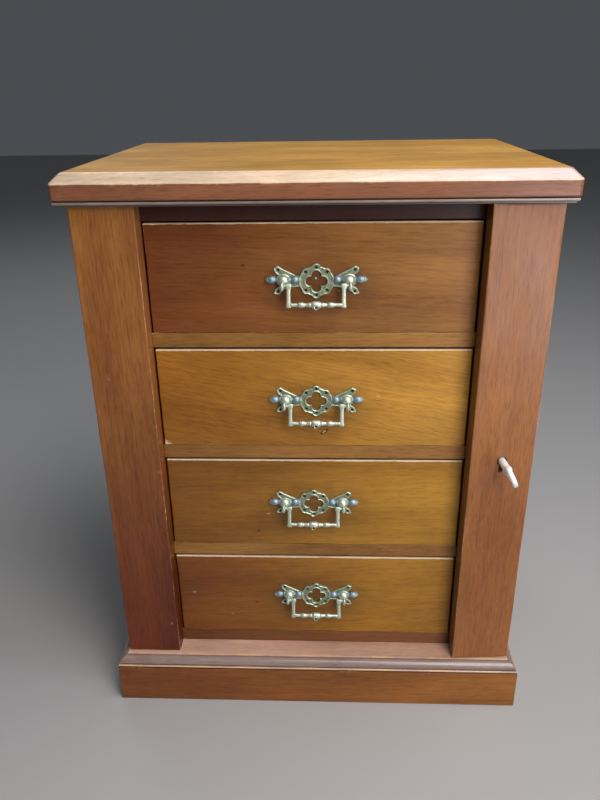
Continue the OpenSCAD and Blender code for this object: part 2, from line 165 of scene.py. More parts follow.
def spread(low: float, high: float, step: float, near: list[float], extra: list[float]) -> np.ndarray:
    """Grid lines along one axis of a board: close at both ends, then about a step apart.

    Args:
        low: the first line.
        high: the last line.
        step: how far apart the lines between them stand, about.
        near: how far the close lines stand from each end.
        extra: lines wanted besides.

    Returns:
        The lines' places, in order.
    """
    middle = np.linspace(low, high, max(2, round((high - low) / step) + 1))
    inner = [d for d in near if d < (high - low) / 2]
    clear = (inner or [0])[-1] + step * 0.3
    middle = middle[(middle > low + clear) & (middle < high - clear)]
    lines = np.concatenate([[low, high], low + np.array(inner), high - np.array(inner), middle, np.array(extra)])
    return np.unique(np.round(lines, 3))


@dataclass
class Board:
    """A planed board with softened, handled arrises, from its low corner to its high corner.

    Its surface is the box's own lattice: each point q of the sharp box moves to c + r u, where c is q clamped
    into the box less r on every side, u points from c to q, and the softness r swells and dips along the board.
    gap_shade is painted shade on all that lies behind its front face, for the dark of the gaps.
    """

    low: tuple
    high: tuple
    soft: float = 0.9
    worn: float = 0.6
    step: float = 14.0
    seed: int = 1
    lines: tuple = ((), (), ())
    gap_shade: float = 0.0
    wells: list = field(default_factory=list)

    def lattice(self) -> tuple[np.ndarray, list]:
        """The sharp box, as the points of its own grid lines.

        Returns:
            Its points, and its faces as lists of point numbers.
        """
        near = [0.35 * self.soft, 0.7 * self.soft, self.soft, 1.5 * self.soft, 3.6]
        axes = [spread(lo, hi, self.step, near, extra) for lo, hi, extra in zip(self.low, self.high, self.lines)]
        counts = [len(a) for a in axes]
        keys, quads = [], []
        for axis in range(3):
            others = [k for k in range(3) if k != axis]
            grid = np.meshgrid(*[np.arange(counts[k]) for k in others], indexing="ij")
            for end in (0, counts[axis] - 1):
                index = [None] * 3
                index[axis] = np.full(grid[0].shape, end)
                index[others[0]], index[others[1]] = grid
                key = (index[0] * counts[1] + index[1]) * counts[2] + index[2]
                keys.append(key)
                quads.append(np.stack([key[:-1, :-1], key[1:, :-1], key[1:, 1:], key[:-1, 1:]], -1).reshape(-1, 4))
        kept = np.unique(np.concatenate([k.ravel() for k in keys]))
        faces = np.searchsorted(kept, np.concatenate(quads))
        places = [kept // (counts[1] * counts[2]), kept // counts[2] % counts[1], kept % counts[2]]
        return np.stack([axes[k][places[k]] for k in range(3)], 1), faces.tolist()

    def shape(self) -> Shape:
        """Softens and wears the sharp box.

        Returns:
            The board: bare along its arrises and more so at its corners, with painted shade behind its front face and
                in its wells.
        """
        sharp, faces = self.lattice()
        low, high = np.array(self.low, float), np.array(self.high, float)
        r = (self.soft * (1 + 0.35 * ripple(sharp, 34, self.seed)))[:, None]
        core = np.clip(sharp, low + r, high - r)
        out = sharp - core
        length = np.linalg.norm(out, axis=1)[:, None]
        points = core + np.where(length > 1e-9, out / np.maximum(length, 1e-9) * r, 0)
        reach = np.sort(np.minimum(sharp - low, high - sharp), axis=1)
        rub = 0.62 + 0.38 * ripple(sharp, 46, self.seed + 1)
        bare = self.worn * rub * np.clip(1 - reach[:, 1] / (1.1 * self.soft), 0, 1)
        corner = np.clip(1 - np.linalg.norm(reach, axis=1) / 4, 0, 1)
        bare = np.clip(bare + self.worn * 0.35 * corner, 0, 1)
        # painted shade behind the front face, for the dark of the gaps
        grime_and_shade = np.where(sharp[:, 1] > low[1] + 1.3 * self.soft, self.gap_shade, 0.0)
        # each well is pushed in and painted dark as painted shade in the recess
        for inside, push in self.wells:
            points = points + inside(sharp)[:, None] * np.array(push)
            grime_and_shade = np.maximum(grime_and_shade, inside(sharp))
        return Shape(points, faces, bare, grime_and_shade)


def rectangle_ring(low: np.ndarray, high: np.ndarray, corner: float, across: int, deep: int) -> np.ndarray:
    """A rectangle with rounded corners as a ring of points, the same count for every size.

    Args:
        low: its low x and y.
        high: its high x and y.
        corner: the corners' radius.
        across: points along each side that runs in x.
        deep: points along each side that runs in y.

    Returns:
        Points in x and y, anticlockwise.
    """
    corner = max(0.0, min(corner, (high[0] - low[0]) / 2, (high[1] - low[1]) / 2))
    centres = np.array([[high[0], low[1]], [high[0], high[1]], [low[0], high[1]], [low[0], low[1]]], float)
    centres += corner * np.array([[-1, 1], [-1, -1], [1, -1], [1, 1]])
    pieces = []
    for k in range(4):
        turn = np.linspace(-math.pi / 2, 0, 5) + k * math.pi / 2
        arc = centres[k] + corner * np.stack([np.cos(turn), np.sin(turn)], 1)
        following = (k + 1) % 4
        start = centres[following] + corner * np.array([math.cos(k * math.pi / 2), math.sin(k * math.pi / 2)])
        count = deep if k % 2 == 0 else across
        share = np.linspace(0, 1, count + 2)[1:-1, None]
        pieces += [arc, arc[-1] * (1 - share) + start * share]
    return np.concatenate(pieces)


def dense(outline: np.ndarray, step: float) -> np.ndarray:
    """A closed outline with points no further apart than step, its own corners kept.

    Args:
        outline: its corners.
        step: the widest gap allowed, in mm.

    Returns:
        The corners with the points between them.
    """
    out = []
    for a, b in zip(outline, np.roll(outline, -1, 0)):
        count = max(1, math.ceil(np.linalg.norm(b - a) / step))
        out.append(a + (b - a) * (np.arange(count) / count)[:, None])
    return np.concatenate(out)


def rounded_outline(outline: np.ndarray, cuts: int) -> np.ndarray:
    """A closed outline with its corners cut over and over, each time a quarter of the way along (Chaikin).

    Args:
        outline: its corners.
        cuts: how many times they are cut.

    Returns:
        The rounded outline's points.
    """
    for _ in range(cuts):
        following = np.roll(outline, -1, 0)
        outline = np.stack([0.75 * outline + 0.25 * following, 0.25 * outline + 0.75 * following], 1)
        outline = outline.reshape(-1, 2)
    return outline


def distance_to(points: np.ndarray, outline: np.ndarray) -> np.ndarray:
    """How far each point is from the nearest of a closely spaced outline's points."""
    return np.sqrt(((points[:, None, :] - outline[None, :, :]) ** 2).sum(-1).min(1))


def turned(profile: np.ndarray, axis: str, centre: tuple, sides: int = 28, finish: int = 0,
           bare: float | np.ndarray = 0.6) -> Shape:
    """A lathe-turned piece: each profile point (place along the axis, radius) goes round the axis.

    Args:
        profile: places along the axis and radii, from one end to the other.
        axis: "x" or "y".
        centre: the point that place 0 stands at.
        sides: points round each ring.
        finish: its material slot.
        bare: how polished its points are by handling, one value or one for each profile point.

    Returns:
        The surface, closed at both ends.
    """
    turn = np.linspace(0, 2 * math.pi, sides, endpoint=False)[None, :]
    along = np.broadcast_to(profile[:, :1], (len(profile), sides))
    one, two = profile[:, 1:] * np.cos(turn), profile[:, 1:] * np.sin(turn)
    rings = np.stack([along, one, two] if axis == "x" else [one, along, two], -1) + np.array(centre)
    rub = np.broadcast_to(np.broadcast_to(bare, len(profile))[:, None], along.shape)
    return loft(rings, bare=rub, finish=finish)


def smooth_profile(stations: list, count: int) -> np.ndarray:
    """A profile through stations, its radius eased from each to the next by the smoothed step 3t^2 - 2t^3.

    Args:
        stations: (place, radius) pairs, in order.
        count: how many points the profile has.

    Returns:
        The profile's (place, radius) points.
    """
    stations = np.array(stations, float)
    t = np.linspace(0, len(stations) - 1, count)
    i = np.minimum(t.astype(int), len(stations) - 2)
    share = (t - i)[:, None]
    eased = np.hstack([share, share * share * (3 - 2 * share)])
    return stations[i] * (1 - eased) + stations[i + 1] * eased


@dataclass
class Moulding:
    """A moulded member: one closed profile of (depth from the nose, height) carried straight along, cut to mitres.

    way is "front", "left" or "right". A front member runs in x between its two mitres, x = -+(reach - depth).
    A side member runs in y from its mitre, y = nose_y + depth, to back_y. It stands at x = -+(reach - depth).
    """

    profile: np.ndarray
    reach: float
    nose_y: float
    back_y: float
    way: str
    worn: float = 0.6
    seed: int = 3

    def edges(self, outline: np.ndarray) -> tuple[np.ndarray, np.ndarray]:
        """Finds the profile's outside and inside corners by the sine of its bend at each.

        Args:
            outline: the points asked about.

        Returns:
            How near each is to an outside corner, and how near to an inside one, from 0 to 1.
        """
        corner = self.profile
        before, after = corner - np.roll(corner, 1, 0), np.roll(corner, -1, 0) - corner
        cross = before[:, 0] * after[:, 1] - before[:, 1] * after[:, 0]
        area = (corner[:, 0] * np.roll(corner[:, 1], -1) - np.roll(corner[:, 0], -1) * corner[:, 1]).sum()
        lengths = np.linalg.norm(before, axis=1) * np.linalg.norm(after, axis=1)
        bend = cross * np.sign(area) / np.maximum(lengths, 1e-9)
        sharp, hollow = corner[bend > 0.3], corner[bend < -0.25]
        out = np.clip(1 - distance_to(outline, sharp) / 0.9, 0, 1) if len(sharp) else np.zeros(len(outline))
        deep = np.clip(1 - distance_to(outline, hollow) / 1.1, 0, 1) if len(hollow) else np.zeros(len(outline))
        return out, deep

    def shape(self) -> Shape:
        """Carries the profile along.

        Returns:
            The member, rubbed at its outside corners and painted dark in its inside ones as painted shade.
        """
        outline = dense(self.profile, 0.8)
        out, deep = self.edges(outline)
        depth, height = outline[:, 0], outline[:, 1]
        length = 2 * self.reach if self.way == "front" else self.back_y - self.nose_y
        share = np.linspace(0, 1, max(24, int(length / 6)))[:, None]
        if self.way == "front":
            x = (self.reach - depth) * (2 * share - 1)
            y = np.broadcast_to(self.nose_y + depth, x.shape)
        else:
            sign = -1 if self.way == "left" else 1
            y = (self.nose_y + depth) * (1 - share) + self.back_y * share
            x = np.broadcast_to(sign * (self.reach - depth), y.shape)
        points = np.stack([x, y, np.broadcast_to(height, x.shape)], -1)
        rub = 0.6 + 0.4 * ripple(points.reshape(-1, 3), 40, self.seed).reshape(x.shape)
        # painted shade in the profile's inside corners
        return loft(points, bare=self.worn * rub * out, grime_and_shade=0.9 * deep)


# ---------------------------------------------------------------- materials


def linear(code: str) -> tuple[float, float, float, float]:
    """An sRGB hex colour as Blender's linear red, green, blue and alpha."""
    parts = [int(code[k : k + 2], 16) / 255 for k in (1, 3, 5)]
    return tuple(p / 12.92 if p <= 0.04045 else ((p + 0.055) / 1.055) ** 2.4 for p in parts) + (1.0,)


def add(tree: bpy.types.NodeTree, kind: str, inputs: dict | None = None, **settings) -> bpy.types.Node:
    """Adds a node, sets it up and links it.

    Args:
        tree: the node tree.
        kind: the node's type.
        inputs: socket name or number, to a value or to another node's output.
        **settings: the node's own properties.

    Returns:
        The node.
    """
    node = tree.nodes.new(kind)
    for name, value in settings.items():
        setattr(node, name, value)
    for name, value in (inputs or {}).items():
        if isinstance(value, bpy.types.NodeSocket):
            tree.links.new(value, node.inputs[name])
        else:
            node.inputs[name].default_value = value
    return node


class Grain(Enum):
    """The axis that a board's grain runs along."""

    ACROSS = 0
    DEEP = 1
    UPRIGHT = 2


@dataclass(frozen=True)
class Finish:
    """What every finish has: a name, and a start and end for its node tree."""

    name: str

    def start(self) -> tuple[bpy.types.Material, bpy.types.NodeTree, bpy.types.Node]:
        """Starts a material of this name.

        Returns:
            The material, its node tree and its shader.
        """
        material = bpy.data.materials.new(self.name)
        material.use_nodes = True
        tree = material.node_tree
        tree.nodes.clear()
        shader = add(tree, "ShaderNodeBsdfPrincipled")
        add(tree, "ShaderNodeOutputMaterial", {"Surface": shader.outputs[0]})
        return material, tree, shader

    def attribute(self, tree: bpy.types.NodeTree, name: str) -> bpy.types.NodeSocket:
        """A point attribute of the mesh as a factor."""
        return add(tree, "ShaderNodeAttribute", attribute_name=name).outputs["Fac"]


@dataclass(frozen=True)
class Timber(Finish):
    """Wood, with its figure drawn out along the grain.

    Bands are the broad light and dark growth, some 30 mm across. Figure is the streaks, about 1.7 mm across,
    and mottle is the play of light in the cut grain, 3 mm by 16 mm. Pores are mahogany's short open vessels,
    about 0.3 mm by 8 mm on the real board; they are drawn 0.75 mm wide, so that they show. French polish lies
    over them as a thin coat that has softened with handling, and bare wood shows pale where arrises have been
    rubbed through it. The dirt_and_shade colour is painted shade in corners, gaps and recesses, with some real
    soiling. A painted_light_gradient is painted light and shade: an axis, the places in mm where the colour
    starts and ends being multiplied towards a tint, and that tint.
    """

    light: str = "#a8652c"
    dark: str = "#6f3717"
    streak: str = "#4a2110"
    bare: str = "#d9ad7c"
    dirt_and_shade: str = "#1a0d08"
    grain: Grain = Grain.ACROSS
    offset: tuple = (0.0, 0.0, 0.0)
    band: float = 30.0
    tilt: float = 0.02
    roughness: float = 0.36
    coat: float = 0.2
    specular: float = 0.3
    pore_depth: float = 0.10
    figure: float = 0.3
    wear: float = 1.0
    painted_light_gradient: tuple = ()

    def scaled(self, tree: bpy.types.NodeTree, across: float, along: float) -> bpy.types.NodeSocket:
        """Object coordinates drawn out along the grain, for a noise of scale 1.

        Args:
            tree: the node tree.
            across: how wide the noise's cells are, in mm.
            along: how long they are along the grain, in mm.

        Returns:
            The scaled place.
        """
        scale = [1000 / across] * 3
        scale[self.grain.value] = 1000 / along
        turn = [0.0, 0.0, 0.0]
        turn[1 if self.grain is not Grain.DEEP else 2] = self.tilt
        place = add(tree, "ShaderNodeTexCoord").outputs["Object"]
        tilted = add(tree, "ShaderNodeMapping", {"Vector": place, "Rotation": turn, "Location": self.offset})
        return add(tree, "ShaderNodeMapping", {"Vector": tilted.outputs[0], "Scale": scale}).outputs[0]

    def make(self) -> bpy.types.Material:
        """Builds the wood's nodes: figure, then age, rubbing and dirt, then polish and open pores.

        Returns:
            The material.
        """
        material, tree, shader = self.start()
        warp = add(tree, "ShaderNodeTexNoise", {"Vector": self.scaled(tree, 70, 260), "Scale": 1, "Detail": 2})
        bands = add(tree, "ShaderNodeTexNoise", {
            "Vector": self.scaled(tree, self.band, 420), "Scale": 1, "Detail": 3, "Roughness": 0.5,
            "Distortion": 0.5})
        streaks = add(tree, "ShaderNodeTexNoise", {
            "Vector": self.scaled(tree, 1.7, 55), "Scale": 1, "Detail": 4, "Roughness": 0.65, "Distortion": 0.3})
        pores = add(tree, "ShaderNodeTexNoise", {
            "Vector": self.scaled(tree, 0.75, 11), "Scale": 1, "Detail": 1.5, "Roughness": 0.5})
        clouds = add(tree, "ShaderNodeTexNoise", {"Vector": self.scaled(tree, 60, 110), "Scale": 1, "Detail": 3})
        # bands and the slow warp together decide light or dark
        depth = add(tree, "ShaderNodeMath", {0: bands.outputs[0], 1: warp.outputs[0]}, operation="ADD")
        tone = add(tree, "ShaderNodeMapRange", {0: depth.outputs[0], 1: 0.76, 2: 1.24, 3: 0, 4: 1})
        base = add(tree, "ShaderNodeMix", {0: tone.outputs[0], 6: linear(self.dark), 7: linear(self.light)},
                   data_type="RGBA")
        line = add(tree, "ShaderNodeMapRange", {0: streaks.outputs[0], 1: 0.42, 2: 0.68, 3: 0, 4: self.figure})
        lined = add(tree, "ShaderNodeMix", {0: line.outputs[0], 6: base.outputs[2], 7: linear(self.streak)},
                    data_type="RGBA")
        shine = add(tree, "ShaderNodeMapRange", {0: streaks.outputs[0], 1: 0.46, 2: 0.3, 3: 0, 4: 0.42 * self.figure})
        lit = add(tree, "ShaderNodeMix", {0: shine.outputs[0], 6: lined.outputs[2], 7: linear(self.light)},
                  data_type="RGBA")
        vessel = add(tree, "ShaderNodeMapRange", {0: pores.outputs[0], 1: 0.5, 2: 0.7, 3: 0, 4: 0.38})
        pored = add(tree, "ShaderNodeMix", {0: vessel.outputs[0], 6: lit.outputs[2], 7: linear(self.streak)},
                    data_type="RGBA")
        mottle = add(tree, "ShaderNodeTexNoise", {"Vector": self.scaled(tree, 3, 16), "Scale": 1, "Detail": 3,
                                                 "Distortion": 0.8})
        lively = add(tree, "ShaderNodeMapRange", {0: mottle.outputs[0], 1: 0.46, 2: 0.7, 3: 0, 4: 0.3})
        flecked = add(tree, "ShaderNodeMix", {0: lively.outputs[0], 6: pored.outputs[2], 7: linear(self.light)},
                      data_type="RGBA")
        cloud = add(tree, "ShaderNodeMapRange", {0: clouds.outputs[0], 1: 0.35, 2: 0.7, 3: 1.12, 4: 0.84})
        aged_and_shaded = add(tree, "ShaderNodeHueSaturation", {
            "Color": flecked.outputs[2], "Value": cloud.outputs[0]}).outputs[0]
        # painted light and shade: the colour is multiplied towards a tint along one axis, for light that falls
        # unevenly across the piece
        if self.painted_light_gradient:
            axis, first, last, tint = self.painted_light_gradient
            place = add(tree, "ShaderNodeTexCoord").outputs["Object"]
            along = add(tree, "ShaderNodeSeparateXYZ", {0: place}).outputs[axis]
            share = add(tree, "ShaderNodeMapRange", {0: along, 1: first * MM, 2: last * MM},
                        interpolation_type="SMOOTHSTEP")
            aged_and_shaded = add(tree, "ShaderNodeMix", {0: share.outputs[0], 6: aged_and_shaded, 7: linear(tint)}, data_type="RGBA",
                       blend_type="MULTIPLY").outputs[2]
        # rubbed arrises: the bare attribute, broken up by a fine noise
        chip = add(tree, "ShaderNodeTexNoise", {"Vector": self.scaled(tree, 1.3, 4), "Scale": 1, "Detail": 3,
                                               "Roughness": 0.7})
        rubbed = add(tree, "ShaderNodeMath", {0: self.attribute(tree, "bare"), 1: chip.outputs[0]}, operation="ADD")
        worn = add(tree, "ShaderNodeMapRange", {0: rubbed.outputs[0], 1: 0.8, 2: 1.15, 3: 0, 4: 0.8 * self.wear})
        # a few small dents that have lost their polish: the middles of scattered cells, some 40 mm apart
        cells = add(tree, "ShaderNodeTexVoronoi", {"Vector": self.scaled(tree, 34, 60), "Scale": 1})
        dents = add(tree, "ShaderNodeMapRange", {0: cells.outputs["Distance"], 1: 0.035, 2: 0.02, 3: 0,
                                                 4: 0.35 * self.wear})
        pale = add(tree, "ShaderNodeMath", {0: worn.outputs[0], 1: dents.outputs[0]}, operation="MAXIMUM")
        bared = add(tree, "ShaderNodeMix", {0: pale.outputs[0], 6: aged_and_shaded, 7: linear(self.bare)},
                    data_type="RGBA")
        # painted shade: the grime_and_shade attribute darkens towards the near-black colour, mostly for shade in gaps,
        # corners, recesses and under parts, with some real marks
        dirt_and_shade = add(tree, "ShaderNodeMath", {0: self.attribute(tree, "grime_and_shade"), 1: 0.94}, operation="MULTIPLY")
        colour = add(tree, "ShaderNodeMix", {0: dirt_and_shade.outputs[0], 6: bared.outputs[2], 7: linear(self.dirt_and_shade)},
                     data_type="RGBA")
        tree.links.new(colour.outputs[2], shader.inputs["Base Color"])
        smear = add(tree, "ShaderNodeTexNoise", {"Vector": self.scaled(tree, 18, 40), "Scale": 1, "Detail": 3})
        sheen = add(tree, "ShaderNodeMapRange", {0: smear.outputs[0], 1: 0.3, 2: 0.7, 3: self.roughness - 0.06,
                                                 4: self.roughness + 0.09})
        rough = add(tree, "ShaderNodeMath", {0: pale.outputs[0], 1: 0.3, 2: sheen.outputs[0]},
                    operation="MULTIPLY_ADD")
        tree.links.new(rough.outputs[0], shader.inputs["Roughness"])
        lift = add(tree, "ShaderNodeMath", {0: vessel.outputs[0], 1: -1.0, 2: streaks.outputs[0]},
                   operation="MULTIPLY_ADD")
        bump = add(tree, "ShaderNodeBump", {"Height": lift.outputs[0], "Strength": self.pore_depth * 2,
                                            "Distance": 0.0002})
        tree.links.new(bump.outputs[0], shader.inputs["Normal"])
        shader.inputs["Specular IOR Level"].default_value = self.specular
        shader.inputs["Coat Weight"].default_value = self.coat
        shader.inputs["Coat Roughness"].default_value = 0.22
        shader.inputs["IOR"].default_value = 1.5
        return material


@dataclass(frozen=True)
class CastMetal(Finish):
    """Cast or drawn metal: bright where hands have kept it polished, dull elsewhere, and painted dark in its openings
    and sunk eye as painted shade.

    Patina gathers in blotches some 2 to 6 mm across, and the casting's own skin is a fine pitting of 0.3 mm,
    drawn 0.6 mm wide so that it shows.
    """

    # the pale green-grey is partly patina and partly a painted reflection of cool light
    bright: str = "#c9d4c2"
    dull: str = "#7d8865"
    deep: str = "#1d2016"
    roughness: float = 0.5
    metallic: float = 1.0
    blotch: float = 2.6
    pitting: float = 0.25

    def make(self) -> bpy.types.Material:
        """Builds the metal's nodes: polish against patina, then painted shade and pits.

        Returns:
            The material.
        """
        material, tree, shader = self.start()
        place = add(tree, "ShaderNodeTexCoord").outputs["Object"]
        blotches = add(tree, "ShaderNodeTexNoise", {"Vector": place, "Scale": 1000 / self.blotch, "Detail": 4,
                                                    "Roughness": 0.6})
        pits = add(tree, "ShaderNodeTexNoise", {"Vector": place, "Scale": 1000 / 0.6, "Detail": 2})
        bare, grime_and_shade = self.attribute(tree, "bare"), self.attribute(tree, "grime_and_shade")
        mixed = add(tree, "ShaderNodeMath", {0: blotches.outputs[0], 1: 0.9, 2: bare}, operation="MULTIPLY_ADD")
        polish = add(tree, "ShaderNodeMapRange", {0: mixed.outputs[0], 1: 0.5, 2: 1.12, 3: 0, 4: 1})
        metal = add(tree, "ShaderNodeMix", {0: polish.outputs[0], 6: linear(self.dull), 7: linear(self.bright)},
                    data_type="RGBA")
        speck = add(tree, "ShaderNodeMapRange", {0: pits.outputs[0], 1: 0.6, 2: 0.75, 3: 0, 4: 0.35})
        # painted shade: the grime_and_shade attribute, set in the handles' openings and sunk eye, darkens towards the
        # deep colour
        dark = add(tree, "ShaderNodeMath", {0: grime_and_shade, 1: speck.outputs[0]}, operation="MAXIMUM")
        colour = add(tree, "ShaderNodeMix", {0: dark.outputs[0], 6: metal.outputs[2], 7: linear(self.deep)},
                     data_type="RGBA")
        tree.links.new(colour.outputs[2], shader.inputs["Base Color"])
        rough = add(tree, "ShaderNodeMapRange", {0: polish.outputs[0], 1: 0, 2: 1, 3: self.roughness + 0.2,
                                                 4: self.roughness - 0.06})
        tree.links.new(rough.outputs[0], shader.inputs["Roughness"])
        bump = add(tree, "ShaderNodeBump", {"Height": pits.outputs[0], "Strength": self.pitting,
                                            "Distance": 0.0001})
        tree.links.new(bump.outputs[0], shader.inputs["Normal"])
        shader.inputs["Metallic"].default_value = self.metallic
        return material


@dataclass(frozen=True)
class PaintedFloor(Finish):
    """The studio's pale matt floor, with the faint unevenness of rolled paint, 3 mm across."""

    shade: str = "#a8a7a5"

    def make(self) -> bpy.types.Material:
        """Builds the paint's nodes.

        Returns:
            The material.
        """
        material, tree, shader = self.start()
        place = add(tree, "ShaderNodeTexCoord").outputs["Object"]
        nap = add(tree, "ShaderNodeTexNoise", {"Vector": place, "Scale": 330, "Detail": 2})
        bump = add(tree, "ShaderNodeBump", {"Height": nap.outputs[0], "Strength": 0.04, "Distance": 0.0003})
        tree.links.new(bump.outputs[0], shader.inputs["Normal"])
        shader.inputs["Base Color"].default_value = linear(self.shade)
        shader.inputs["Roughness"].default_value = 0.8
        return material


class Finishes:
    """Every finish on the chest, made once."""

    def __init__(self) -> None:
        """Makes the materials."""
        self.top = Timber("french_polished_mahogany_top", light="#d4a150", dark="#b5863c", streak="#81541f",
                          offset=(0.1, 0.3, 0.0), roughness=0.42, coat=0.1, specular=0.25, figure=0.45).make()
        self.top_edge = Timber("french_polished_mahogany_edge", light="#8b5a3f", dark="#76472d",
                               offset=(0.15, 0.3, 0.2), coat=0.5, figure=0.2).make()
        # the chamfer is coloured pale as a painted highlight of the light above, over real rubbing; its
        # painted_light_gradient tints it towards a cool painted reflection at the right end
        self.chamfer = Timber("rubbed_mahogany_chamfer_painted_highlight", light="#d4bfa4", dark="#bca180", streak="#966643",
                              bare="#ecd2b2", offset=(0.1, 0.3, 0.2), coat=0.8, figure=0.25, wear=0.6,
                              painted_light_gradient=(0, 10, 190, "#e2d8ee")).make()
        # the bead's grey-blue tone is a painted reflection of the light above
        self.bead = Timber("french_polished_mahogany_bead", light="#a39289", dark="#85736b", streak="#5c4844",
                           offset=(0.4, 0.2, 0.1), coat=0.7).make()
        self.bead_side = Timber("french_polished_mahogany_bead_side", light="#a08a82", dark="#82695f",
                                grain=Grain.DEEP, offset=(0.4, 0.2, 0.1), coat=0.7).make()
        # the frieze is coloured near black as painted shade under the slab's overhang
        self.frieze = Timber("mahogany_frieze_painted_shade", light="#3a201b", dark="#2c1715",
                             offset=(0.2, 0.1, 0.7), coat=0.1).make()
        self.side = Timber("french_polished_mahogany_side", light="#8f4f20", dark="#733812", grain=Grain.UPRIGHT,
                           offset=(0.3, 0.6, 0.2)).make()
        # painted shade: the left pilaster's painted_light_gradient darkens it towards the bottom
        self.left_pilaster = Timber("french_polished_mahogany_left_pilaster", light="#a66f39", dark="#875028",
                                    grain=Grain.UPRIGHT, offset=(0.0, 0.2, 0.4), tilt=0.01,
                                    painted_light_gradient=(2, 420, 60, "#b07a6f")).make()
        self.right_pilaster = Timber("french_polished_mahogany_right_pilaster", light="#9c6435", dark="#875128",
                                     grain=Grain.UPRIGHT, offset=(0.6, 0.1, 0.4), tilt=-0.01).make()
        self.rail = Timber("french_polished_mahogany_rail", light="#a07236", dark="#7d5324",
                           offset=(0.5, 0.3, 0.9)).make()
        self.bottom_rail = Timber("french_polished_mahogany_bottom_rail", light="#7d4f2c", dark="#60391f",
                                  offset=(0.2, 0.5, 0.8)).make()
        # the ledge is paler than the cove, a painted highlight on its lit top, and the cove grey-blue, a painted
        # reflection of the light above: its name, light, dark, streak and coat
        members = [("ledge", "#d7b19a", "#b08b74", "#9a6a52", 0.8), ("cove", "#9c877e", "#7d675d", "#5c4844", 1.0)]
        self.moulding, self.moulding_side = (
            [Timber(f"french_polished_mahogany_{name}{where}", light=light, dark=dark, streak=streak, grain=grain,
                    offset=offset, coat=coat).make() for name, light, dark, streak, coat in members]
            for where, grain, offset in (("", Grain.ACROSS, (0.9, 0.3, 0.2)), ("_side", Grain.DEEP, (0.9, 0.5, 0.2)))
        )
        # painted shade: the plinth's painted_light_gradient darkens it towards the left end
        self.plinth = Timber("french_polished_mahogany_plinth", light="#a6692a", dark="#88511e",
                             offset=(0.7, 0.3, 0.5), painted_light_gradient=(0, 190, -190, "#e7d7d7")).make()
        self.plinth_side = Timber("french_polished_mahogany_plinth_side", light="#9a5d26", dark="#7e481b",
                                  grain=Grain.DEEP, offset=(0.7, 0.3, 0.5)).make()
        # light and dark, the painted shade tint at the left end, and how far the grain runs off level
        fronts = [("#a57239", "#8a5929", "#c4a5a6", -0.04),
                  ("#ca9439", "#ad7a28", "#cfbba9", -0.18),
                  ("#b28129", "#95671c", "#cdbccc", 0.03),
                  ("#b68228", "#97651c", "#b696b0", 0.05)]
        # painted shade: each front's painted_light_gradient darkens it towards the left end
        self.fronts = [
            Timber(f"french_polished_mahogany_drawer_{i + 1}", light=light, dark=dark, streak="#5e3510",
                   offset=(0.13 * i, 0.2 * i, 0.31 * i), band=26 + 3 * i, tilt=tilt,
                   painted_light_gradient=(0, 125, -125, left_shade_tint), bare="#e2cdb2").make()
            for i, (light, dark, left_shade_tint, tilt) in enumerate(fronts)
        ]
        self.lining = Timber("planed_cedar_lining", light="#b98a5c", dark="#a07048", streak="#7d5233",
                             grain=Grain.DEEP, roughness=0.62, coat=0.0, specular=0.25, wear=0.3).make()
        self.lining_back = Timber("planed_cedar_lining_back", light="#b98a5c", dark="#a07048", streak="#7d5233",
                                  roughness=0.62, coat=0.0, specular=0.25, wear=0.3).make()
        self.pine = Timber("stained_pine", light="#b08450", dark="#8f6436", streak="#6e4a26", grain=Grain.UPRIGHT,
                           roughness=0.68, coat=0.0, specular=0.2, wear=0.4, band=22).make()
        # a film of old lacquer and patina scatters a little of the light from the handles
        # the brass's green-grey and the silvered metal's blue are partly patina and silvering, partly a painted
        # reflection of cool light
        self.brass = CastMetal("aged_cast_brass", metallic=0.8).make()
        self.silvered = CastMetal("worn_silvered_brass_painted_cool_reflection", bright="#9db4be", dull="#465d69", deep="#171d22",
                                  roughness=0.52, metallic=0.8).make()
        self.lock_brass = CastMetal("rolled_lock_brass", bright="#c9a75c", dull="#8a7138", deep="#3a2e18",
                                    roughness=0.3, pitting=0.08).make()
        # old nickel has a thin matt film of oxide, so half of its light is scattered like a pale paint's
        self.nickel = CastMetal("worn_nickel_plate", bright="#f6faf9", dull="#dde4e5", deep="#777a76",
                                roughness=0.5, metallic=0.3, pitting=0.06).make()
        self.steel = CastMetal("drawn_steel", bright="#b4b3b0", dull="#7f7d79", deep="#33312e",
                               roughness=0.32, pitting=0.08).make()


# ---------------------------------------------------------------- laying pieces


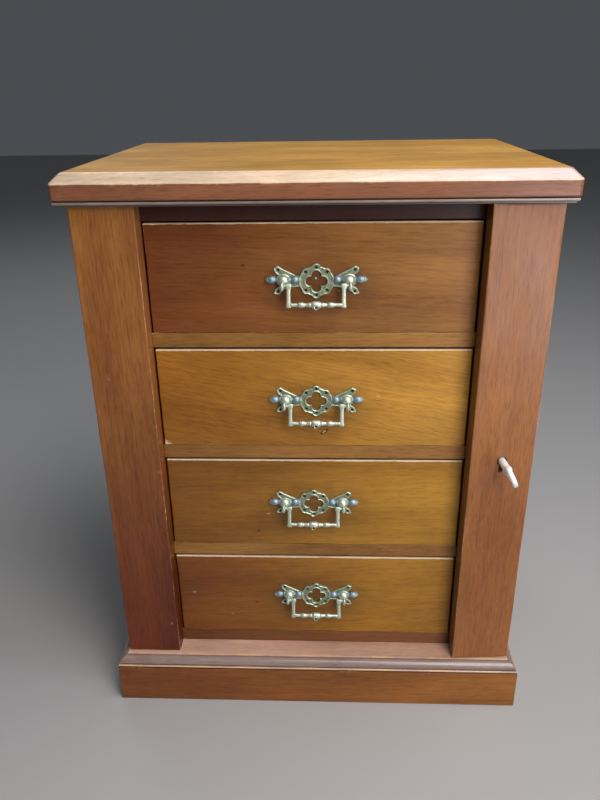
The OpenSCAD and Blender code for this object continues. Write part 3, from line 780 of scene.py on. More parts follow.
def lay(name: str, shape: Shape, finishes: list, body: str, stands_for: tuple,
        crease: float = 38.0) -> None:
    """Makes a shape a piece of the chest: welded, faces outwards, riding on its body.

    Args:
        name: the piece's name.
        shape: its surface, in mm.
        finishes: its materials, in slot order.
        body: the CAD body that carries it.
        stands_for: the CAD nodes that it replaces.
        crease: faces that meet at more than this angle keep a sharp edge, in degrees.
    """
    mesh = bpy.data.meshes.new(name)
    mesh.from_pydata((shape.points * MM).tolist(), [], shape.faces)
    # the grime_and_shade attribute carries painted shade as well as real marks
    for label, values in (("bare", shape.bare), ("grime_and_shade", shape.grime_and_shade)):
        layer = mesh.attributes.new(label, "FLOAT", "POINT")
        layer.data.foreach_set("value", np.asarray(values, np.float32))
    mesh.polygons.foreach_set("material_index", np.asarray(shape.finish, np.int32))
    work = bmesh.new()
    work.from_mesh(mesh)
    bmesh.ops.remove_doubles(work, verts=work.verts, dist=2e-6)
    bmesh.ops.dissolve_degenerate(work, edges=work.edges, dist=1e-6)
    bmesh.ops.recalc_face_normals(work, faces=work.faces)
    work.to_mesh(mesh)
    work.free()
    mesh.polygons.foreach_set("use_smooth", np.ones(len(mesh.polygons), bool))
    mesh.set_sharp_from_angle(angle=math.radians(crease))
    for finish in finishes:
        mesh.materials.append(finish)
    piece = bpy.data.objects.new(name, mesh)
    bpy.context.scene.collection.objects.link(piece)
    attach(piece, body)
    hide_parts(*stands_for)
    log.info("%s: %d faces on %s", name, len(mesh.polygons), body)


def dress(finish: bpy.types.Material, *nodes: str) -> None:
    """Gives CAD nodes that keep their own mesh a finish.

    Args:
        finish: the material.
        *nodes: the nodes' names.
    """
    for node in nodes:
        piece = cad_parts[node]
        piece.data.materials.clear()
        piece.data.materials.append(finish)
        log.info("%s: dressed in %s", node, finish.name)


# ---------------------------------------------------------------- the chest


@dataclass(frozen=True)
class Sizes:
    """The sizes that more than one part of the chest needs, in mm."""

    half_w: float = 190.7
    front_y: float = -113.05
    back_y: float = 142.95
    base_z: float = 53.0
    plinth_h: float = 42.4
    plinth_half: float = 200.8
    plinth_y: float = -142.95
    bead_z: float = 498.6
    slab_z: float = 503.0
    top_z: float = 523.5
    top_half: float = 200.0
    top_y: float = -139.25
    top_back: float = 146.75
    opening_l: float = -138.5
    opening_r: float = 136.3
    pilaster_t: float = 16.8
    drawer_base: tuple = (389.4, 281.9, 174.4, 66.9)
    drawer_l: float = -136.9
    drawer_r: float = 134.8
    drawer_h: float = 92.5
    frieze_z: float = 483.4


SIZES = Sizes()


@dataclass
class Top:
    """The slab with its chamfer, and the bead that runs under it round three sides."""

    chamfer: float = 7.3
    corner: float = 3.0
    inset: float = 1.2

    def slab(self) -> Shape:
        """Rings of one rectangle, drawn in by the profile's inset and raised by its height.

        The front and sides follow the chamfer, and the back stays square.

        Returns:
            The slab: its top in slot 0, its square edge in slot 1 and its chamfer in slot 2.
        """
        s, leg = SIZES, self.chamfer
        height = s.top_z - s.slab_z
        ease, arc = 1.1, np.array([0.0, 0.29, 0.62, 1.0])
        # rows of faces up to the square edge's top, and up to the chamfer's top
        edge_rows, chamfer_rows = 11, 17
        # (inset at the front and sides, inset at the back, height, nearness to an arris)
        rows = [(143, 143, 0, 0), (60, 60, 0, 0), (8, 8, 0, 0), (2, 2, 0, 0)]
        rows += [(ease * (1 - a), ease * (1 - a), ease * (1 - math.sqrt(1 - a * a)), 0.25) for a in arc]
        rows += [(0, 0, 3, 0.1), (0, 0, 7, 0), (0, 0, height - leg - 2, 0.25), (0, 0, height - leg - 0.8, 0.75),
                 (0.25, 0, height - leg + 0.15, 1.0), (1.2, 0, height - leg + 1.15, 0.5),
                 (leg * 0.5, 0, height - leg * 0.5, 0.1), (leg - 1.4, 0, height - 1.5, 0.2),
                 (leg - 0.2, 0.2, height - 0.4, 0.9), (leg + 0.9, 0.8, height - 0.05, 0.4),
                 (leg + 2.5, 2, height, 0.15), (leg + 6, 6, height, 0), (leg + 14, 14, height, 0),
                 (40, 40, height, 0), (80, 80, height, 0), (142.9, 142.9, height, 0)]
        rings, near = [], []
        for inset, back, z, arris in rows:
            low = np.array([-s.top_half + inset, s.top_y + inset])
            high = np.array([s.top_half - inset, s.top_back - back])
            middle = (low[1] + high[1]) / 2
            low[1], high[1] = min(low[1], middle), max(high[1], middle)
            ring = rectangle_ring(low, high, self.corner, 84, 60)
            rings.append(np.column_stack([ring, np.full(len(ring), s.slab_z + z)]))
            near.append(np.full(len(ring), arris))
        rings, near = np.array(rings), np.array(near)
        flat = rings.reshape(-1, 3)
        rub = ripple(flat, 30, 5).reshape(near.shape)
        nick = np.clip(ripple(flat, 13, 8).reshape(near.shape) - 0.95, 0, 1)
        rings[..., 2] -= near * (0.08 * (1 + rub) + 1.1 * nick) * (rings[..., 2] > s.slab_z + 6)
        slab = loft(rings, bare=np.clip(near * (0.5 + 0.2 * rub) + nick * near, 0, 1),
                    grime_and_shade=0.9 * (rings[..., 2] < s.slab_z + 0.35))
        row = np.arange(len(slab.faces)) // rings.shape[1]
        slab.finish = np.where(row < edge_rows, 1, np.where(row < chamfer_rows, 2, 0))
        return slab

    def bead(self, depth: float) -> np.ndarray:
        """The bead's profile: a half round nose over a small fillet.

        Args:
            depth: how far it runs in behind its nose.

        Returns:
            Points of (depth from the nose, height).
        """
        nose = 1.67
        turn = np.radians(np.arange(-90, 91, 18))[::-1]
        arc = np.column_stack([nose - nose * np.cos(turn), 4.4 - nose + nose * np.sin(turn)])
        tail = np.array([[1.7, 1.06], [1.7, 0.0], [depth, 0.0], [depth, 4.4]])
        return np.concatenate([arc, tail]) + np.array([0, SIZES.bead_z])

    def build(self, finishes: Finishes) -> None:
        """Lays the slab and the bead's three members.

        Args:
            finishes: every finish.
        """
        lay("top_slab_polished", self.slab(), [finishes.top, finishes.top_edge, finishes.chamfer], "carcass",
            ("top_slab",))
        reach, nose_y = SIZES.top_half - self.inset, SIZES.top_y + self.inset
        for way, finish in (("front", finishes.bead), ("left", finishes.bead_side), ("right", finishes.bead_side)):
            profile = self.bead(SIZES.front_y - nose_y if way == "front" else 9.0)
            member = Moulding(profile, reach, nose_y, SIZES.back_y, way, worn=0.15, seed=11).shape()
            height = member.points[:, 2] - SIZES.bead_z
            # a dark line in the quirk under the slab, and painted shade growing darker down the lower half
            dirt_and_shade = np.where(height > 3.65, 0.95, np.clip(1.1 - height / 2.2, 0, 0.8))
            member.grime_and_shade = np.maximum(member.grime_and_shade, dirt_and_shade)
            lay(f"top_bead_{way}", member, [finish], "carcass", ("top_bead",))


@dataclass
class Carcass:
    """The fixed boards of the case, and the plain framing behind the drawers."""

    board: float = 12.0
    rail: float = 13.5

    def build(self, finishes: Finishes) -> None:
        """Lays the boards and dresses the framing.

        Args:
            finishes: every finish.
        """
        s = SIZES
        one_board = {
            "frieze_rail": (Board((s.opening_l, s.front_y, s.frieze_z), (s.opening_r, s.front_y + 40, s.slab_z),
                                  soft=0.5, worn=0.2, seed=21), finishes.frieze),
            "left_side": (Board((-s.half_w, s.front_y, s.base_z), (-s.half_w + self.board, s.back_y, s.slab_z),
                                soft=0.8, seed=22), finishes.side),
            "right_side": (Board((s.half_w - self.board, s.front_y, s.base_z), (s.half_w, s.back_y, s.slab_z),
                                 soft=0.8, seed=23), finishes.side),
            "left_stile": (Board((-s.half_w + self.board, s.front_y, s.base_z),
                                 (s.opening_l, s.front_y + 14, s.slab_z), soft=0.4, worn=0.2, seed=24), finishes.side),
            "left_pilaster": (Board((-s.half_w, s.front_y - s.pilaster_t, s.base_z),
                                    (-138.3, s.front_y, s.bead_z), soft=1.15, worn=0.62, step=9, seed=25),
                              finishes.left_pilaster),
            "bottom_rail": (Board((s.opening_l, s.front_y, s.base_z), (s.opening_r, s.front_y + 40, 66.9),
                                  soft=0.5, worn=0.4, seed=26), finishes.bottom_rail),
        }
        for node, (board, finish) in one_board.items():
            lay(f"{node}_polished", board.shape(), [finish], "carcass", (node,))
        rails = [Board((s.opening_l, s.front_y, z - self.rail), (s.opening_r, s.front_y + 40, z), soft=0.6, worn=0.45,
                       gap_shade=0.8, seed=30 + i).shape() for i, z in enumerate(s.drawer_base[:3])]
        for rail, z in zip(rails, s.drawer_base):
            # painted shade on the rail's underside, for the dark gap over the drawer below
            rail.grime_and_shade = np.maximum(rail.grime_and_shade, 0.9 * (rail.points[:, 2] < z - self.rail + 0.8))
        lay("divider_rails_polished", joined(rails), [finishes.rail], "carcass",
            ("divider_rails",))
        width = (2 * s.half_w - 2 * self.board) / 3
        planks = [Board((-s.half_w + self.board + k * width, s.back_y - 6, s.base_z),
                        (-s.half_w + self.board + (k + 1) * width, s.back_y, s.slab_z), soft=1.2, worn=0.3,
                        seed=40 + k).shape() for k in range(3)]
        lay("back_panel_planks", joined(planks), [finishes.pine], "carcass", ("back_panel",))
        dress(finishes.side, "right_stile")
        dress(finishes.pine, "bottom_board", "drawer_runners", "drawer_guides", "plinth_back", "plinth_blocks",
              "base_panel")


@dataclass
class Base:
    """The plinth, and the moulded frame that the case stands on."""

    slope: float = 8.2
    rise: float = 10.6
    frame_w: float = 52.0

    def moulding(self) -> np.ndarray:
        """The frame's profile: a small bead, a quirk, a hollow and a top fillet, then the flat frame behind.

        Returns:
            Points of (depth from the nose, height).
        """
        bead, hollow_r = 1.1, 5.4
        turn = np.radians(np.arange(-90, 91, 22.5))
        nose = np.column_stack([bead - bead * np.cos(turn), bead + bead * np.sin(turn)])
        sweep = np.radians(np.linspace(-88, -8, 9))
        hollow = np.column_stack([1.9 + hollow_r * (1 - np.cos(sweep + math.pi / 2)),
                                  3.2 + hollow_r * np.sin(sweep + math.pi / 2)])
        ledge = np.array([[self.slope - 0.6, self.rise - 1.8], [self.slope, self.rise - 1.7],
                          [self.slope + 0.2, self.rise - 0.3], [self.slope + 0.9, self.rise],
                          [self.frame_w, self.rise], [self.frame_w, 0]])
        quirk = np.array([[1.9, 2.0], [1.9, 3.0]])
        return np.concatenate([nose, quirk, hollow, ledge]) + np.array([0, SIZES.plinth_h])

    def build(self, finishes: Finishes) -> None:
        """Lays the moulding's members and the plinth's boards.

        Args:
            finishes: every finish.
        """
        s = SIZES
        reach, nose_y = s.plinth_half - 0.4, s.plinth_y + 0.4
        for way, finish in (("front", finishes.moulding), ("left", finishes.moulding_side),
                            ("right", finishes.moulding_side)):
            member = Moulding(self.moulding(), reach, nose_y, s.back_y, way, worn=0.7, seed=51).shape()
            first = np.array([face[0] for face in member.faces])
            height = member.points[first, 2] - s.plinth_h
            member.finish = np.where((height > 2.1) & (height < self.rise - 1.9), 1, 0)
            # the two ends are filled with the ledge's finish
            member.finish[-2:] = 0
            member.grime_and_shade = np.maximum(member.grime_and_shade, 0.95 * (member.points[:, 2] < s.plinth_h + 0.3))
            lay(f"base_moulding_{way}", member, finish, "carcass", ("base_moulding",))
        rear = Board((-reach + self.frame_w, s.back_y - self.frame_w, s.plinth_h),
                     (reach - self.frame_w, s.back_y, s.base_z), soft=0.4, worn=0.2)
        lay("base_moulding_rear", rear.shape(), [finishes.pine], "carcass", ("base_moulding",))
        high = s.plinth_h
        profile = np.array([[1.2, 0], [0.35, 0.35], [0, 1.2], [0, high - 1], [0.3, high - 0.3], [1, high],
                            [18, high], [18, 0]])
        for way, finish, node in (("front", finishes.plinth, "plinth_front"),
                                  ("left", finishes.plinth_side, "plinth_sides"),
                                  ("right", finishes.plinth_side, "plinth_sides")):
            member = Moulding(profile, s.plinth_half, s.plinth_y, s.back_y, way, worn=0.35, seed=61).shape()
            member.grime_and_shade = np.maximum(member.grime_and_shade, 0.85 * (member.points[:, 2] > s.plinth_h - 0.5))
            lay(f"plinth_{way}_polished", member, [finish], "carcass", (node,))


@dataclass
class LockingPilaster:
    """The hinged pilaster, its lock and its key. It stands a little ajar, swung about its outer rear edge."""

    ajar: float = 4.0
    hinge: tuple = (193.1, -113.2)
    lock_x: float = 163.4
    lock_z: float = 277.3
    key_turned: float = 25.0
    inner_x: float = 135.2
    gap: float = 0.3
    leaf_x: float = 177.65
    leaf_z: tuple = (115.0, 396.6)
    leaf_h: float = 40.0

    def leaf_ends(self) -> list[float]:
        """The heights of the grid lines just outside and just inside each hinge leaf's bed."""
        return [low + d for low in self.leaf_z for d in (-0.1, 0, self.leaf_h, self.leaf_h + 0.1)]

    def at_leaf(self, height: np.ndarray) -> np.ndarray:
        """Whether each height is beside a hinge leaf."""
        return np.any([(height > low - 0.05) & (height < low + self.leaf_h + 0.05) for low in self.leaf_z], axis=0)

    def swing(self) -> Matrix:
        """The turn about the hinge line from shut to ajar."""
        there = Matrix.Translation((*self.hinge, 0))
        return there @ Matrix.Rotation(math.radians(self.ajar), 4, "Z") @ there.inverted()

    def keyhole(self, at: np.ndarray) -> np.ndarray:
        """1 inside the keyhole's outline on the front face, 0 outside: a round eye over a straight slot."""
        x, z = at[:, 0] - self.lock_x, at[:, 2] - self.lock_z
        inside = (np.hypot(x, z) < 4.3) | ((np.abs(x) < 2.2) & (z < 0) & (z > -10.6))
        return (inside & (at[:, 1] < -130)).astype(float)

    def mortise(self, at: np.ndarray) -> np.ndarray:
        """1 where the lock or a hinge leaf is let into the back face, 0 elsewhere."""
        x, z = at[:, 0], at[:, 2]
        lock = (np.abs(x - self.lock_x) < 16.05) & (np.abs(z - self.lock_z) < 22.05)
        leaf = (x > self.leaf_x) & self.at_leaf(z)
        return ((lock | leaf) & (at[:, 1] > -113.5)).astype(float)

    def board(self) -> Shape:
        """The pilaster's board, with its keyhole and mortises sunk by pushing the lattice's points in.

        Returns:
            The board as it stands when shut, with painted shade on the edge beside the drawers.
        """
        s = SIZES
        fine_x = self.lock_x + np.arange(-6, 6.01, 0.5)
        fine_z = self.lock_z + np.arange(-12, 6.01, 0.5)
        edges_x = [self.lock_x + k * w for k in (-1, 1) for w in (16, 16.1)] + [self.leaf_x - 0.05, self.leaf_x + 0.05]
        edges_z = [self.lock_z + k * w for k in (-1, 1) for w in (22, 22.1)] + self.leaf_ends()
        board = Board((self.inner_x, s.front_y - self.gap - s.pilaster_t, s.base_z + 0.6),
                      (s.half_w, s.front_y - self.gap, s.bead_z - 0.6),
                      soft=1.1, worn=0.75, step=9, seed=71, lines=([*fine_x, *edges_x], [], [*fine_z, *edges_z]),
                      wells=[(self.keyhole, (0, 6.0, 0)), (self.mortise, (0, -1.3, 0))]).shape()
        # painted shade on the inner edge, for the dark gap beside the drawers
        board.grime_and_shade = np.maximum(board.grime_and_shade, 0.5 * (board.points[:, 0] < self.inner_x + 0.4))
        return board

    def key(self) -> Shape:
        """A round shaft with a collar, turned about Y, and a pierced bow: a ring swept round its eye.

        Returns:
            The key in its lock, turned as it stands at rest.
        """
        face_y = -self.gap - SIZES.pilaster_t
        bow_y = face_y - 36.5 + 10
        shaft_end = bow_y + 7.6
        stations = [(-5.6, 0), (-5.6, 3.2), (-6, 3.4), (face_y - 6, 3.4), (face_y - 10, 3.35), (shaft_end + 4.4, 3.3),
                    (shaft_end + 3.6, 4.1), (shaft_end + 2.2, 4.1), (shaft_end + 1.5, 3.3), (shaft_end - 0.5, 2.9),
                    (shaft_end - 3.0, 2.0), (shaft_end - 3.2, 0)]
        shaft = turned(np.array(stations, float), "y", (0, 0, 0), 32, bare=0.7)
        around = np.linspace(0, 2 * math.pi, 56, endpoint=False)[:, None]
        section = np.linspace(0, 2 * math.pi, 20, endpoint=False)[None, :]
        # the ring's section is a flattened round, 4.6 thick and 4.4 wide
        wide = np.sign(np.cos(section)) * np.abs(np.cos(section)) ** 0.8 * 2.2
        thick = np.sign(np.sin(section)) * np.abs(np.sin(section)) ** 0.7 * 2.3
        along = bow_y - 0.2 + (7.7 + wide) * np.cos(around)
        up = (7.6 + wide) * np.sin(around)
        bow = loft(np.stack([np.broadcast_to(thick, along.shape), along, up], -1), bare=np.full(along.shape, 0.8),
                   wrap_rows=True)
        bit = Board((-1.4, -9, -10), (1.4, -5.8, 0), soft=0.3, step=3).shape()
        place = self.swing() @ Matrix.Translation((self.lock_x, SIZES.front_y, self.lock_z))
        place = place @ Matrix.Rotation(math.radians(-self.key_turned), 4, "Y")
        return joined([shaft, bow, bit]).moved(place)

    def build(self, finishes: Finishes) -> None:
        """Lays the board and the key, and dresses the lock and hinges."""
        lay("right_pilaster_polished", self.board().moved(self.swing()), [finishes.right_pilaster],
            "locking_pilaster", ("right_pilaster",))
        lay("key_plated", self.key(), [finishes.nickel], "key", ("key",))
        dress(finishes.lock_brass, "lock_case", "lock_cover", "lock_bolt", "strike_plate", "hinge_fixed_leaves",
              "hinge_moving_leaves", "hinge_fixed_screws", "hinge_moving_screws")
        dress(finishes.steel, "hinge_pins")


@dataclass
class Handle:
    """A cast bail handle, drawn round the middle of its plate's back: x across, y towards the drawer, z up."""

    post_x: float = 27.0
    lobe_at: float = 11.0
    finial_z: float = 1.5
    bail_out: float = 6.5
    pivot_z: float = -2.5
    drop: float = 15.4
    lean: float = 17.0
    arm_x: float = 22.6

    def roundel(self) -> Shape:
        """The pierced middle: between a quatrefoil opening and a lobed rim, both out from the centre.

        The opening's edge is the furthest of four circles of 3.9 set 5 from the centre. The rim is the furthest
        of six circles of 3.6 set 11 out and of 12.7 + 2.1 |cos|^3. The face is raised along both edges, and its
        flat back joins the opening's edge to the rim.

        Returns:
            The roundel.
        """
        turn = np.linspace(0, 2 * math.pi, 320, endpoint=False)

        def reach(at: float, radius: float, angles: np.ndarray) -> np.ndarray:
            """The furthest that circles go, at each turn.

            Args:
                at: how far their centres stand out.
                radius: their radius.
                angles: where their centres stand.

            Returns:
                One distance for each turn.
            """
            off = turn[:, None] - angles[None, :]
            inside = radius**2 - (at * np.sin(off)) ** 2
            far = np.where((inside > 0) & (np.cos(off) > 0), at * np.cos(off) + np.sqrt(np.maximum(inside, 0)), 0)
            return far.max(1)

        inner = reach(5, 3.9, np.radians([0, 90, 180, 270]))
        lobes = np.radians([41, 90, 139, 221, 270, 319])
        outer = np.maximum(reach(self.lobe_at, 3.6, lobes), 12.7 + 2.1 * np.abs(np.cos(turn)) ** 3)
        share = np.concatenate([[0, 0], np.linspace(0, 1, 25), [1, 1]])
        r = inner[:, None] * (1 - share) + outer[:, None] * share
        x, z = r * np.cos(turn)[:, None], r * np.sin(turn)[:, None]
        from_in, from_out = r - inner[:, None], outer[:, None] - r
        rim = np.exp(-(((from_in - 0.75) / 0.5) ** 2)) + np.exp(-(((from_out - 0.7) / 0.45) ** 2))
        hole = np.zeros(x.shape)
        for a in lobes:
            gap = np.hypot(x - 11.5 * math.cos(a), z - 11.5 * math.sin(a))
            hole = np.maximum(hole, np.clip((1.35 - gap) / 0.5, 0, 1))
        height = (1.3 + 0.75 * rim) * (1 - hole) + 0.15 * hole
        height[:, [0, -1]] = 0
        height[:, [1, -2]] = 1.0
        height[:, [2, -3]] = 1.5
        bare = np.clip(0.15 + 0.75 * rim, 0, 1) * (1 - hole)
        # the small holes between the lobes are painted dark as painted shade for the openings
        return loft(np.stack([x, -height, z], -1), bare=bare, grime_and_shade=0.9 * hole, wrap_rows=True)

    def wing(self, side: int) -> Shape:
        """One wing: a relief carried from a middle point out to its outline, with a raised edge and holed ends.

        Args:
            side: -1 for the left, 1 for the right.

        Returns:
            The wing.
        """
        corners = np.array([[12, 4.2], [15, 4.0], [20, 6.6], [27.3, 10.2], [31.6, 12.9], [35.4, 11.0], [33.8, 7],
                            [30.4, 4.2], [29.6, -3.4], [33.8, -6.2], [35.8, -10.6], [31.2, -11.6], [28.0, -8.0],
                            [24, -5.6], [16, -4.9], [12, -4.4]])
        edge = dense(rounded_outline(dense(corners, 3.2), 2), 0.5)
        middle = np.array([24.0, 0.0])
        share = np.concatenate([np.linspace(0, 0.6, 5), np.linspace(0.64, 1, 16)])[::-1]
        grid = middle + share[:, None, None] * (edge[None] - middle)
        flat = grid.reshape(-1, 2)
        gap = distance_to(flat, edge).reshape(grid.shape[:2])
        rim = np.exp(-(((gap - 0.75) / 0.5) ** 2))
        hole = np.zeros(gap.shape)
        for eye, radius in (((31.4, 9.3), 1.4), ((31.6, -8.6), 1.3)):
            away = np.hypot(grid[..., 0] - eye[0], grid[..., 1] - eye[1])
            hole = np.maximum(hole, np.clip((radius - away) / 0.5, 0, 1))
        height = (0.85 + 0.6 * rim) * (1 - hole) + 0.15 * hole
        height[0] = 0.8
        front = np.stack([grid[..., 0] * side, -height, grid[..., 1]], -1)
        back = np.stack([edge[:, 0] * side, np.zeros(len(edge)), edge[:, 1]], -1)[None]
        centre = np.tile([[[middle[0] * side, 0.0, middle[1]]]], (1, len(edge), 1))
        rings = np.concatenate([centre, back, front])
        bare = np.concatenate([np.zeros((2, len(edge))), np.clip(0.15 + 0.8 * rim, 0, 1) * (1 - hole)])
        # the holed ends are painted dark as painted shade for the openings
        dirt_and_shade = np.concatenate([np.zeros((2, len(edge))), 0.9 * hole])
        return loft(rings, bare=bare, grime_and_shade=dirt_and_shade)

    def finials(self, side: int) -> list[Shape]:
        """The eggs beside the roundel and beyond the post, half sunk in the plate, with the necks between them.

        Args:
            side: -1 for the left, 1 for the right.

        Returns:
            Two eggs, a neck, a tip and a collar.
        """

        def egg(middle: float, half: float, radius: float) -> np.ndarray:
            """An egg's profile, from its middle's place, its half length and its radius."""
            turn = np.linspace(0, math.pi, 15)
            return np.column_stack([middle - half * np.cos(turn), radius * np.sin(turn) ** 0.85])

        centre = (0.0, -1.3, self.finial_z)
        tip = smooth_profile([(39.4, 0), (39.5, 2.7), (40.4, 2.3), (41.6, 1.0), (42.4, 0.3), (42.5, 0)], 18)
        neck = smooth_profile([(20.0, 0), (20.1, 1.8), (22.0, 2.5), (23.5, 2.0), (26, 2.2), (30.6, 2.2), (31.4, 2.9),
                               (32.2, 2.9), (32.8, 2.0), (34, 1.8), (34.1, 0)], 34)
        collar = smooth_profile([(12.9, 0), (13.0, 1.7), (13.8, 2.2), (14.4, 1.6), (14.5, 0)], 14)
        parts = [(egg(17.4, 3.9, 3.5), 1), (neck, 1), (egg(36.6, 4.5, 3.4), 1), (tip, 0), (collar, 0)]
        return [turned(profile * np.array([side, 1]), "x", centre, 24, finish, bare=0.55)
                for profile, finish in parts]

    def plate(self, pin: bool) -> Shape:
        """The whole plate with its relief.

        Args:
            pin: whether it has a small fixing pin in its opening, as one handle does.

        Returns:
            The plate.
        """
        shapes = [self.roundel()]
        for side in (-1, 1):
            shapes += [self.wing(side), *self.finials(side)]
        if pin:
            dome = smooth_profile([(0.2, 0), (0.2, 0.95), (-0.3, 0.95), (-0.75, 0.55), (-0.9, 0)], 14)
            shapes.append(turned(dome, "y", (-0.5, 0.0, 2.2), 16, 0, bare=0.9))
        return joined(shapes)

    def posts(self) -> Shape:
        """Domed bosses, the ears that carry the bail's pins, and the shanks with their nuts inside the drawer.

        Returns:
            Both posts.
        """
        shapes = []
        for side in (-1, 1):
            x = side * self.post_x
            turn = np.linspace(0, math.pi / 2, 10)
            dome = np.column_stack([-1.3 - 0.9 - 4.4 * np.sin(turn), 4.7 * np.cos(turn)])
            boss = np.concatenate([[[-1.0, 0], [-1.0, 5.2], [-1.9, 5.3], [-2.2, 4.9]], dome])
            domed = turned(boss, "y", (0, 0, 0), 32, 0, bare=0.95)
            domed.points = domed.points * np.array([1.16, 1, 0.95]) + np.array([x, 0, 1.1])
            shapes.append(domed)
            # the ear that carries the pin: a rounded upright cheek, its half width and half height at each depth
            depth = np.array([-1.3, -4.0, -6.5, -8.4, -9.2, -9.6])
            wide = np.array([1.8, 1.75, 1.85, 1.8, 1.4, 0.6])[:, None]
            tall = np.array([3.0, 3.1, 3.7, 3.5, 2.8, 1.0])[:, None]
            turn = np.linspace(0, 2 * math.pi, 28, endpoint=False)[None, :]
            ear_x = side * (self.post_x + 1) + wide * np.cos(turn)
            ear_z = self.pivot_z - 0.6 + tall * np.sin(turn)
            ear_y = np.broadcast_to(depth[:, None], ear_x.shape)
            shapes.append(loft(np.stack([ear_x, ear_y, ear_z], -1), bare=np.full(ear_x.shape, 0.85)))
            shank = np.array([(-1.2, 0), (-1.2, 1.9), (15.0, 1.9), (15.0, 3.6), (15.5, 4.0), (17.5, 4.0), (18, 3.6),
                              (18, 0)])
            shapes.append(turned(shank, "y", (x, 0, 0), 24, 0, bare=0.4))
        return joined(shapes)

    def bail(self) -> Shape:
        """Two flat arms, a turned bar with rings and a bulb, and the small eye beneath it, leaning outwards.

        Returns:
            The bail, hanging from its pins.
        """
        shapes = []
        for side in (-1, 1):
            # the arm's half width at each height, from its pin to its foot
            height = np.array([1.9, 1.6, 0.2, -1.5, -2.2, -6, -11, -14.2, -16, -17.4, -17.8])
            half = np.array([1.8, 2.4, 2.6, 2.4, 1.8, 1.65, 1.65, 1.8, 2.1, 2.1, 1.8])
            thick = np.array([0.9, 1.2, 1.3, 1.2, 1.05, 1.0, 1.05, 1.15, 1.25, 1.2, 0.9])
            turn = np.linspace(0, 2 * math.pi, 20, endpoint=False)[None, :]
            # a squared round: each of the cosine and sine keeps its sign and is raised to 0.45
            across, deep = (np.sign(v) * np.abs(v) ** 0.45 for v in (np.cos(turn), np.sin(turn)))
            x = side * self.arm_x + half[:, None] * across
            y = thick[:, None] * deep
            z = np.broadcast_to(height[:, None], x.shape)
            shapes.append(loft(np.stack([x, y, z], -1), bare=np.full(x.shape, 0.55)))
            pin = np.array([(self.arm_x, 0), (self.arm_x, 1.3), (28.2, 1.3), (28.2, 0)]) * np.array([side, 1])
            shapes.append(turned(pin, "x", (0, 0, 0), 20, 0, bare=0.6))
        half_bar = [(21.2, 0), (21.2, 1.6), (15.4, 1.55), (14.6, 1.8), (13.6, 2.25), (12.0, 2.35), (10.6, 2.2),
                    (9.8, 1.8), (9.0, 1.6), (6.6, 1.8), (5.2, 2.1), (4.2, 1.9), (3.5, 2.7), (1.8, 3.15), (0, 3.2)]
        left = smooth_profile([(-x, r) for x, r in half_bar], 96)
        bar = np.concatenate([left, (left * np.array([-1, 1]))[::-1][1:]])
        shapes.append(turned(bar, "x", (0, 0, -self.drop), 28, 0, bare=0.9))
        # the eye is a small round boss with a sunk middle, painted dark there as painted shade
        eye = np.array([(1.6, 0), (1.5, 1.5), (0.2, 2.05), (-1.4, 2.0), (-1.9, 1.6), (-1.8, 1.15), (-0.9, 0.9),
                        (-0.8, 0)])
        sides = 24
        sunk = turned(eye, "y", (0, -1.7, -self.drop - 2.2), sides, 0, bare=0.9)
        sunk.grime_and_shade = np.repeat([0, 0, 0, 0, 0, 0.5, 1, 1], sides).astype(float)
        shapes.append(sunk)
        place = Matrix.Translation((0, -self.bail_out, self.pivot_z)) @ Matrix.Rotation(
            math.radians(-self.lean), 4, "X")
        return joined(shapes).moved(place)


